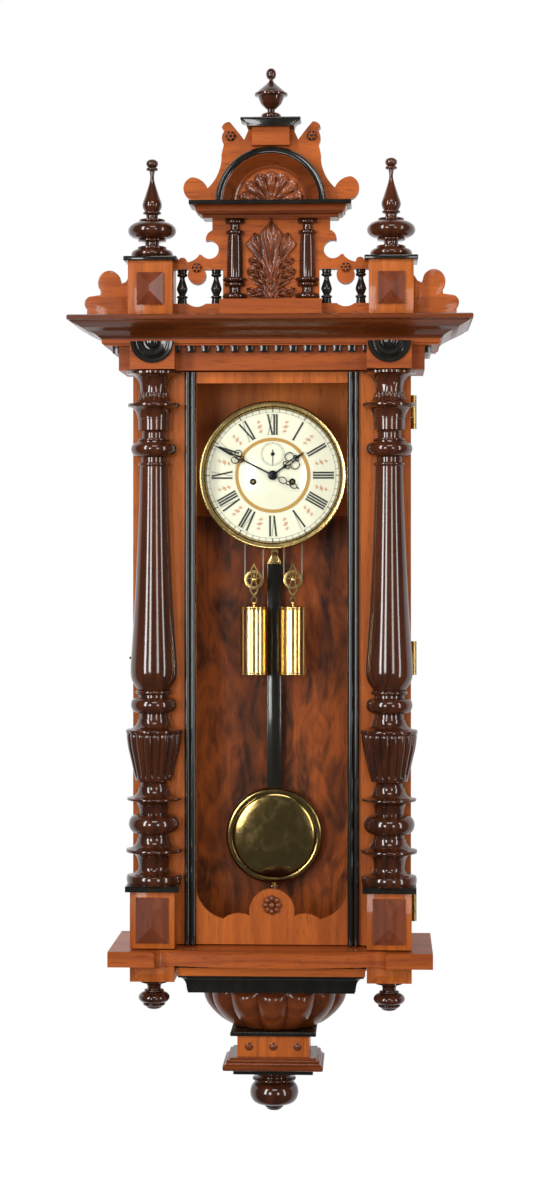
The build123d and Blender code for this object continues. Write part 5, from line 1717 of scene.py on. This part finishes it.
    def acanthus(self) -> None:
        """Carve the acanthus between the half columns: a tall middle leaf and leaves that curl out in pairs."""
        pieces = []
        pairs = (
            (((0.002, 0.03), (0.012, 0.05), (0.022, 0.07), (0.030, 0.13)), (0.006, 0.0095, 0.008, 0.002), 3),
            (((0.002, 0.08), (0.012, 0.22), (0.021, 0.33), (0.030, 0.36)), (0.006, 0.0105, 0.0090, 0.003), 4),
            (((0.002, 0.16), (0.010, 0.34), (0.018, 0.46), (0.028, 0.50)), (0.006, 0.0105, 0.0090, 0.003), 4),
            (((0.003, 0.32), (0.012, 0.52), (0.018, 0.68), (0.021, 0.84)), (0.005, 0.0110, 0.0150, 0.002), 2),
        )
        for spots, widths, lobes in pairs:
            for side in SIDES:
                pieces.append(carved_leaf(self.rib(spots, side), widths, self.face, 0.0072, lobes))
        middle = self.rib([(0, 0.18), (0, 0.45), (0, 0.75), (0, 1.0)])
        pieces.append(carved_leaf(middle, (0.005, 0.0120, 0.0165, 0.0015), self.face - 0.0015, 0.0075, 2))
        root = self.rib([(0, 0.0), (0, 0.10), (0, 0.2), (0, 0.30)])
        pieces.append(carved_leaf(root, (0.010, 0.0130, 0.0100, 0.0015), self.face - 0.003, 0.0060, 3))
        add_piece("carved_acanthus", *joined(pieces), CARVED, "crest", ("leaf_carving",), 50)

    def scrolls(self) -> None:
        """Set the rosettes on the ears and the arms."""
        pieces = []
        for side in SIDES:
            for x, z, radius in ((0.0935, 0.091, 0.0062), (0.0510, 0.2560, 0.0066)):
                pieces.append(rosette(side * x, z, radius, self.face, 0.0065, 6))
        add_piece("board_rosettes", *joined(pieces), EBONY, "crest", (), 50)

    def build(self) -> None:
        """Make all the carving."""
        self.pedestals()
        self.arch()
        self.shell()
        self.acanthus()
        self.scrolls()


# Dial and hands

@dataclass(frozen=True)
class DialFace:
    """The enamel dial: its tracks, numerals and floral sprigs, and the bezel round it."""

    x: float = 0.0
    z: float = DIAL_Z
    seconds_z: float = SECONDS_Z
    front: float = -0.0865

    def ring(self, inner: float, outer: float, z: Optional[float] = None, lift: float = 0.00012) -> Shape:
        """Draw a painted ring.

        Args:
            inner: Its inner radius in metres.
            outer: Its outer radius in metres.
            z: The level of its middle, or the dial's.
            lift: How far it stands on the enamel.

        Returns:
            Points and faces.
        """
        middle = self.z if z is None else z
        profile = Profile(inner / MM, 0).to(outer / MM, 0)
        return faced(profile, self.x, middle, self.front - lift, 128)

    def bar(self, reach: float, angle: float, corners: Sequence[Point2], z: Optional[float] = None,
            lift: float = 0.00014) -> Shape:
        """Paint a flat shape that stands radially.

        Args:
            reach: The distance of its foot from the middle.
            angle: Its angle in degrees from +X towards +Z.
            corners: Across and outward of each corner, in metres.
            z: The level of the middle, or the dial's.
            lift: How far it stands on the enamel.

        Returns:
            Points and faces.
        """
        middle = self.z if z is None else z
        turn = math.radians(angle)
        out, wide = (math.cos(turn), math.sin(turn)), (math.sin(turn), -math.cos(turn))
        points = [Vector((self.x + (reach + v) * out[0] + u * wide[0], self.front - lift,
                          middle + (reach + v) * out[1] + u * wide[1])) for u, v in corners]
        return points, [tuple(range(len(points)))]

    def foot(self, at: float, level: float, width: float, tall: float) -> list[Point2]:
        """Draw the serif at one end of a stroke.

        Args:
            at: Its middle, across.
            level: The end of the stroke.
            width: Half its width.
            tall: The letter's height.

        Returns:
            Its corners.
        """
        serif = 0.012 * tall
        low, high = (level, level + serif) if level < tall / 2 else (level - serif, level)
        return [(at - width, low), (at + width, low), (at + width, high), (at - width, high)]

    def slant(self, bottom: float, top: float, width: float, tall: float) -> list[Point2]:
        """Draw a straight stroke from the foot to the head of a letter.

        Args:
            bottom: Its middle at the foot, across.
            top: Its middle at the head.
            width: Its width.
            tall: The letter's height.

        Returns:
            Its corners.
        """
        return [(bottom - width / 2, 0), (bottom + width / 2, 0), (top + width / 2, tall),
                (top - width / 2, tall)]

    def letter(self, sign: str, centre: float, tall: float) -> list[list[Point2]]:
        """Draw a letter of a numeral with thick and thin strokes and serifs.

        Args:
            sign: I, V or X.
            centre: Where its middle is, across.
            tall: Its height in metres.

        Returns:
            Corners of each stroke.
        """
        thick, thin, half = 0.078 * tall, 0.016 * tall, 0.11 * tall
        near, far = centre - half, centre + half
        thin_near, thin_far = centre - half * 0.9, centre + half * 0.9
        if sign == "I":
            return [self.slant(centre, centre, thick, tall), self.foot(centre, 0, thick, tall),
                    self.foot(centre, tall, thick, tall)]
        if sign == "V":
            return [self.slant(centre, near, thick, tall), self.slant(centre, thin_far, thin, tall),
                    self.foot(near, tall, thick, tall), self.foot(thin_far, tall, 0.5 * thick, tall)]
        return [self.slant(far, near, thick, tall), self.slant(thin_near, thin_far, thin, tall),
                self.foot(near, tall, thick, tall), self.foot(thin_far, tall, 0.6 * thick, tall),
                self.foot(far, 0, thick, tall), self.foot(thin_near, 0, 0.6 * thick, tall)]

    def numerals(self) -> None:
        """Paint the twelve numerals, each with its foot towards the middle."""
        names = ("XII", "I", "II", "III", "IIII", "V", "VI", "VII", "VIII", "IX", "X", "XI")
        inner, tall = 0.0515, 0.0262
        gaps = {"I": 0.128, "V": 0.26, "X": 0.27}
        pieces = []
        for hour, name in enumerate(names):
            angle = 90 - 30 * hour
            spot = -sum(gaps[sign] for sign in name) * tall / 2
            for sign in name:
                spot += gaps[sign] * tall / 2
                for stroke in self.letter(sign, spot, tall):
                    pieces.append(self.bar(inner, angle, stroke))
                spot += gaps[sign] * tall / 2
        add_piece("numerals", *joined(pieces), INK, "case")

    def tracks(self) -> None:
        """Paint the minute track and the seconds track."""
        pieces = [self.ring(0.0802, 0.0805), self.ring(0.0843, 0.0847)]
        for minute in range(60):
            wide = 0.00045 if minute % 5 == 0 else 0.0002
            pieces.append(self.bar(0.0802, 6 * minute, [(-wide, 0), (wide, 0), (wide, 0.0043),
                                                        (-wide, 0.0043)]))
        add_piece("minute_track", *joined(pieces), INK, "case")
        small = [self.ring(0.0128, 0.01295, self.seconds_z, 0.0003),
                 self.ring(0.0151, 0.0153, self.seconds_z, 0.0003)]
        for tick in range(60):
            wide = 0.0003 if tick % 5 == 0 else 0.00012
            small.append(self.bar(0.0128, 6 * tick, [(-wide, 0), (wide, 0), (wide, 0.0024), (-wide, 0.0024)],
                                  self.seconds_z, 0.0003))
        add_piece("seconds_track", *joined(small), FAINT_INK, "case")

    def sprigs(self) -> None:
        """Paint a small sprig of flowers between each two numerals."""
        petals, leaves = [], []
        for hour in range(12):
            angle = 75 - 30 * hour
            for reach, size in ((0.0580, 0.0016), (0.0640, 0.0022), (0.0700, 0.0015)):
                cx, cz = radial((self.x, self.z), reach, angle)
                for k in range(5):
                    px, pz = radial((cx, cz), 0.55 * size, angle + 72 * k)
                    spots = oval(px, pz, 0.42 * size, 0.42 * size, 0, 360, 8)
                    petals.append(([Vector((x, self.front - 0.00013, z)) for x, z in spots],
                                   [tuple(range(8))]))
                for hand in SIDES:
                    lx, lz = radial((cx, cz), 1.35 * size, angle + 90 * hand + 25)
                    spots = oval(lx, lz, 0.22 * size, 0.4 * size, 0, 360, 8)
                    leaves.append(([Vector((x, self.front - 0.00015, z)) for x, z in spots],
                                   [tuple(range(8))]))
            stem = [(-0.00012, 0), (0.00012, 0), (0.00012, 0.0190), (-0.00012, 0.0190)]
            petals.append(self.bar(0.0545, angle, stem, None, 0.00012))
        add_piece("flower_sprigs", *joined(petals), ROSE, "case")
        add_piece("leaf_sprigs", *joined(leaves), FAINT_INK, "case")

    def plate(self) -> None:
        """Dome the enamel, sink the middle, gild the ring between them and paint black discs as shade where the winding
        holes are.
        """
        profile = Profile(6.2, 0).to(43.4, 0).to(44.2, 0.35).to(47.4, 0.35).to(48.2, 0).to(86.6,
                                                                                           0.2).to(86.9, 1.2)
        add_piece("enamel_plate", *faced(profile, self.x, self.z, self.front - 0.00005, 128), ENAMEL, "case",
                  ("dial",))
        add_piece("gilt_ring", *self.ring(0.0436, 0.0478, None, 0.0002), GILT, "case")
        # Painted shade: flat black discs on the enamel stand for the dark openings of the winding holes.
        dark = [faced(Profile(0.1, 0).to(4.3, 0), side * WEIGHT_X, BARREL_Z, self.front - 0.00018, 32)
                for side in SIDES]
        add_piece("winding_holes", *joined(dark), BLACK_METAL, "case")

    def milled(self, turn: float, drop: float) -> float:
        """Mill the front edge of the bezel.

        Args:
            turn: The angle in radians.
            drop: How far back it is in millimetres.

        Returns:
            The factor on the radius.
        """
        return 1 + (0.004 * math.cos(120 * turn) if drop < 4 else 0)

    def bezel(self) -> None:
        """Turn the bezel: an inner wall in darker brass, which is painted shade, and a flared milled ring."""
        ring = Profile(86, 9.0).to(86.4, -4.0).bead(0, 0.01).to(88, -3.4).quarter(92.8, -0.8, False)
        ring.to(94.2, 1.4).to(94.4, 2.2).to(92.6, 2.4).to(89, 2.4)
        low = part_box("bezel")[0]
        add_piece("milled_bezel", *faced(ring, self.x, self.z, low.y, 240, self.milled), BRASS, "case",
                  ("bezel",))
        # Painted shade: the inner wall is made of the darkened brass.
        wall = Profile(84.6, 7.4).to(85.2, -2.6).to(86.2, -2.2)
        add_piece("bezel_wall", *faced(wall, self.x, self.z, low.y + 0.0004, 128), AGED_SHADED_BRASS, "case")

    def build(self) -> None:
        """Make the dial."""
        self.plate()
        self.tracks()
        self.numerals()
        self.sprigs()
        self.bezel()


@dataclass(frozen=True)
class Hands:
    """The openwork hour and minute hands and the seconds hand."""

    centre: Point2 = (0.0, DIAL_Z)

    def loop(self, angle: float, along: float, across: float, size: Point2, front: float) -> Shape:
        """Bend a thin oval loop.

        Args:
            angle: The hand's angle in degrees.
            along: The loop's middle along the hand, in metres.
            across: Its middle across the hand.
            size: Its half length and half width.
            front: The depth of its face.

        Returns:
            Points and faces.
        """
        turn = math.radians(angle)
        path = []
        for u, v in oval(along, across, size[0], size[1], 0, 360, 28):
            path.append((self.centre[0] + u * math.cos(turn) - v * math.sin(turn),
                         self.centre[1] + u * math.sin(turn) + v * math.cos(turn)))
        return ribbon(path, [0.00115] * len(path), front, 0.0007)

    def blade(self, angle: float, stations: Sequence[Point2], front: float) -> Shape:
        """Cut a straight tapered blade.

        Args:
            angle: Its angle in degrees.
            stations: Distance and width along it, in metres.
            front: The depth of its face.

        Returns:
            Points and faces.
        """
        path = [radial(self.centre, reach, angle) for reach, width in stations]
        return ribbon(path, [width for reach, width in stations], front, 0.0009)

    def collar(self, radius: float, front: float, z: Optional[float] = None) -> Shape:
        """Turn the boss at a hand's root.

        Args:
            radius: Its radius in millimetres.
            front: The depth of its face.
            z: Its level, or the middle's.

        Returns:
            Points and faces.
        """
        level = self.centre[1] if z is None else z
        boss = Profile(0.1).quarter(0.45 * radius, 0.5, False).to(0.5 * radius, 0.2).quarter(radius, 0.4,
                                                                                             False).to(radius, 1.0)
        return faced(boss, self.centre[0], level, front - 0.0006, 40)

    def build(self) -> None:
        """Make the three hands with their arbors."""
        minute, hour = 153.0, 36.0
        front = -0.0915
        shapes = [self.blade(minute, ((0.004, 0.0022), (0.040, 0.0017)), front),
                  self.blade(minute, ((0.039, 0.0008), (0.0415, 0.0036), (0.0440, 0.0008)), front),
                  self.blade(minute, ((0.0555, 0.0016), (0.0600, 0.0040), (0.0680, 0.0030),
                                      (0.0838, 0.0006)), front),
                  self.loop(minute, 0.0490, 0.0, (0.0055, 0.0022), front)]
        for hand in SIDES:
            shapes.append(self.loop(minute, 0.0515, hand * 0.0048, (0.0046, 0.0040), front))
            shapes.append(self.loop(minute, 0.0445, hand * 0.0026, (0.0020, 0.0017), front))
        shapes += [self.blade(minute + 180, ((0.004, 0.0011), (0.0100, 0.0009)), front),
                   self.loop(minute + 180, 0.0145, 0.0, (0.0050, 0.0038), front),
                   self.loop(minute + 180, 0.0225, 0.0, (0.0032, 0.0022), front),
                   self.loop(minute + 180, 0.0300, 0.0, (0.0046, 0.0030), front),
                   self.blade(minute + 180, ((0.0340, 0.0014), (0.0360, 0.0020), (0.0380, 0.0004)), front)]
        shapes.append(self.collar(5.8, front))
        shapes.append(faced(Profile(0.1).to(1.9, 0).to(1.9, 49.5).to(0.1, 0), 0, self.centre[1], front, 24))
        add_piece("openwork_minute_hand", *joined(shapes), BLACK_METAL, "minute", ("minute_hand",))
        front = -0.0894
        shapes = [self.blade(hour, ((0.004, 0.0024), (0.0170, 0.0018)), front),
                  self.blade(hour, ((0.0160, 0.0010), (0.0185, 0.0048), (0.0215, 0.0010)), front),
                  self.blade(hour, ((0.0350, 0.0016), (0.0385, 0.0044), (0.0420, 0.0028), (0.0498, 0.0006)),
                             front),
                  self.loop(hour, 0.0285, 0.0, (0.0075, 0.0020), front)]
        for hand in SIDES:
            shapes.append(self.loop(hour, 0.0310, hand * 0.0064, (0.0056, 0.0052), front))
            shapes.append(self.loop(hour, 0.0218, hand * 0.0030, (0.0024, 0.0021), front))
            shapes.append(self.loop(hour, 0.0375, hand * 0.0024, (0.0016, 0.0014), front))
        shapes.append(self.collar(5.4, front))
        shapes.append(faced(Profile(2.2, 0).to(3.4, 0).to(3.4, 8.5).to(2.2, 0), 0, self.centre[1], front, 24))
        add_piece("openwork_hour_hand", *joined(shapes), BLACK_METAL, "hour", ("hour_hand",))
        middle = (0.0, SECONDS_Z)
        small = ribbon([(0, middle[1] + 0.0055), middle, (0, middle[1] - 0.0145)], (0.0012, 0.0010, 0.0004),
                       -0.0877, 0.0005)
        shapes = [small, faced(Profile(0.1).quarter(2.4, 0.7, False).to(2.6, 0.5), 0, middle[1], -0.0879, 32)]
        add_piece("thin_seconds_hand", *joined(shapes), BLACK_METAL, "escape", ("seconds_hand",))


# Pendulum, pulleys and weights

@dataclass(frozen=True)
class Pendulum:
    """The ebonised rod, its brass head and the heavy bob."""

    depth: float = -0.030

    def knurl(self, turn: float, drop: float) -> float:
        """Knurl the rating nut, the same at every drop.

        Args:
            turn: The angle in radians.
            drop: How far down it is; not used.

        Returns:
            The factor on the radius.
        """
        return 1 - 0.05 * abs(math.sin(12 * turn))

    def build(self) -> None:
        """Make the pendulum."""
        low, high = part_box("pendulum_rod")
        rod = [block((-0.0095, self.depth - 0.004, low.z), (0.0095, self.depth + 0.004, high.z), 1.4)]
        add_piece("pendulum_lath", *joined(rod), EBONY, "pendulum", ("pendulum_rod",))
        top = high.z + 0.0150
        head = plate([(-0.0095, high.z - 0.001), (0.0095, high.z - 0.001), (0.0022, top), (-0.0022, top)],
                     self.depth - 0.0052,
                     self.depth - 0.0025, 0.5)
        screws = [faced(Profile(0.1).quarter(1.5, 0.6, False).to(1.6, 0.5), x, high.z + 0.0025,
                        self.depth - 0.0060, 20)
                  for x in (-0.0055, 0.0055)]
        add_piece("pendulum_corner", *joined([head, *screws]), BRASS, "pendulum")
        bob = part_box("pendulum_bob")
        middle = (bob[0].z + bob[1].z) / 2
        disc = Profile(0.1)
        disc.points += [(20, 0.1), (40, 0.8), (50, 1.6), (53.6, 2.4), (54.3, 2.9), (55, 2.0), (57.5, 1.5),
                        (60, 2.0),
                        (62, 4.0), (62.9, 7.0), (62.9, 10.0), (62, 13), (60, 15), (50, 16), (0.1, 16.9)]
        # The bob's dark brass is partly painted shade.
        add_piece("turned_bob", *faced(disc, 0, middle, bob[0].y, 128), AGED_SHADED_BRASS, "pendulum",
                  ("pendulum_bob",), 25)
        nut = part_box("rating_nut")
        form = Profile(0).to(5).to(5.4, 0.4).to(5.4, 3.2).to(5, 0.4).to(0)
        add_piece("knurled_nut", *turned(form, 0, self.depth, nut[1].z, 96, self.knurl), BRASS, "rating_nut",
                  ("rating_nut",))


@dataclass(frozen=True)
class WeightSet:
    """A brass weight that hangs from a spoked pulley in a pointed stirrup."""

    side: int
    name: str

    def weight(self) -> None:
        """Turn the weight and bend its hook."""
        node = f"weight_{self.name}"
        x, y = self.side * WEIGHT_X, WEIGHT_Y
        low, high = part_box(node)
        top = low.z + 0.090
        form = Profile(0).to(15).to(17.6, 0.6).bead(1.0, 3.2, 17.6).to(17.4, 0.4).to(17.8, 0.2)
        form.to(17.8, 80.6).to(17.4, 0.2).bead(1.1, 3.4, 17.6).to(15.5, 0.8).to(0)
        shapes = [turned(form, x, y, top, 72)]
        knob = Profile(0.1).to(2.2, 0.4).bead(1.6, 4.2, 1.6).to(1.6, 1.4)
        shapes.append(turned(knob, x, y, top + knob.height() * MM, 32))
        hook = high.z - 0.0045
        loop = oval(x, hook, 0.0034, 0.0036, -90, 350, 28)
        shapes.append(ribbon(loop, [0.0015] * len(loop), y - 0.0009, 0.0018))
        shapes.append(ribbon([(x, top + 0.004), (x, hook - 0.003)], [0.0018, 0.0016], y - 0.0009, 0.0018))
        add_piece(f"polished_{node}", *joined(shapes), BRASS, node, (node,), 30)

    def stirrup(self) -> None:
        """Cut the pointed stirrup, front and back, with its axle."""
        node = f"pulley_frame_{self.name}"
        low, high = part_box(node)
        x, z = self.side * WEIGHT_X, PULLEY_Z
        shapes = []
        for y, back in ((low.y - 0.0004, low.y + 0.0010), (high.y - 0.0010, high.y + 0.0004)):
            for hand in SIDES:
                arm = [(x, z + 0.0205), (x + hand * 0.0016, z + 0.0165), (x + hand * 0.0042, z + 0.0120),
                       (x + hand * 0.0036, z + 0.0065), (x + hand * 0.0022, z),
                       (x + hand * 0.0034, z - 0.0070),
                       (x + hand * 0.0048, z - 0.0135), (x + hand * 0.0024, z - 0.0180), (x, z - 0.0205)]
                shapes.append(ribbon(arm, [0.0012, 0.0020, 0.0017, 0.0015, 0.0022, 0.0015, 0.0019, 0.0022,
                                           0.0026], y, back - y))
            shapes.append(faced(Profile(0.1).quarter(2.2, 0.7, False).to(2.6, 0.6), x, z, y - 0.0004, 28))
        shapes.append(block((x - 0.0024, low.y, z - 0.0208), (x + 0.0024, high.y, z - 0.0178), 0.4))
        shapes.append(faced(Profile(0.1).to(1.25, 0).to(1.25, (high.y - low.y) / MM).to(0.1, 0), x, z, low.y,
                            20))
        add_piece(f"pointed_{node}", *joined(shapes), BRASS, f"weight_{self.name}", (node,))

    def wheel(self) -> None:
        """Turn the grooved rim and set five tapered spokes and a hub in it."""
        node = f"pulley_wheel_{self.name}"
        x, y, z = self.side * WEIGHT_X, WEIGHT_Y, PULLEY_Z
        rim = Profile(8.6, 0).to(12.0, 0).quarter(12.2, 0.3, False).to(12.0, 0.4).to(10.9, 1.5).to(10.9,
                                                                                                   1.5).to(12.0, 1.5)
        rim.to(12.2, 0.4).to(8.6, 0.4).to(8.6, -6.0)
        shapes = [faced(rim, x, z, y - 0.003, 72)]
        hub = Profile(1.4, 0).to(3.0, 0).to(3.2, 0.3).to(3.2, 5.4).to(1.4, 0.2).to(1.4, -5.9)
        shapes.append(faced(hub, x, z, y - 0.00295, 40))
        for k in range(5):
            angle = 90 + 72 * k
            path = [radial((x, z), reach, angle) for reach in (0.0028, 0.0060, 0.0090)]
            shapes.append(ribbon(path, (0.0026, 0.0016, 0.0022), y - 0.0018, 0.0036))
        add_piece(f"spoked_{node}", *joined(shapes), BRASS, f"pulley_{self.name}", (node,))

    def build(self) -> None:
        """Make the set."""
        self.weight()
        self.stirrup()
        self.wheel()


# CAD nodes that keep their shape

KEPT = {
    FLAME: ("backboard",),
    VENEER: ("inner_board",),
    STILE: ("side_frames", "door_frame"),
    BOARD: ("frieze", "top_board", "crest_board", "base_shelf"),
    EBONY: ("column_plinths",),
    GLASS: ("side_glass", "door_glass"),
    BRASS: ("movement_frame", "barrel_left", "barrel_right", "escape_wheel", "pendulum_head"),
    AGED_SHADED_BRASS: ("case_fittings", "door_fittings", "side_hook"),
    STEEL: ("hanger_plate", "anchor", "rating_stem"),
}


def dress_kept_nodes() -> None:
    """Give each CAD node that keeps its shape its finish."""
    for finish, nodes in KEPT.items():
        for node in nodes:
            material = finish.material()
            for slot in bpy.data.objects[node].material_slots:
                slot.material = material


def main() -> None:
    """Dress the clock."""
    logging.basicConfig(level=logging.INFO)
    Studio().build()
    for side, name in zip(SIDES, ("left", "right")):
        WeightLine(f"line_{name}", side).build()
    dress_kept_nodes()
    Cornices().build()
    Console().build()
    Columns().build()
    DoorTrim().build()
    CrestTurnings().build()
    CrestCarving().build()
    DialFace().build()
    Hands().build()
    Pendulum().build()
    for side, name in zip(SIDES, ("left", "right")):
        WeightSet(side, name).build()


if __name__ == "__main__":
    main()
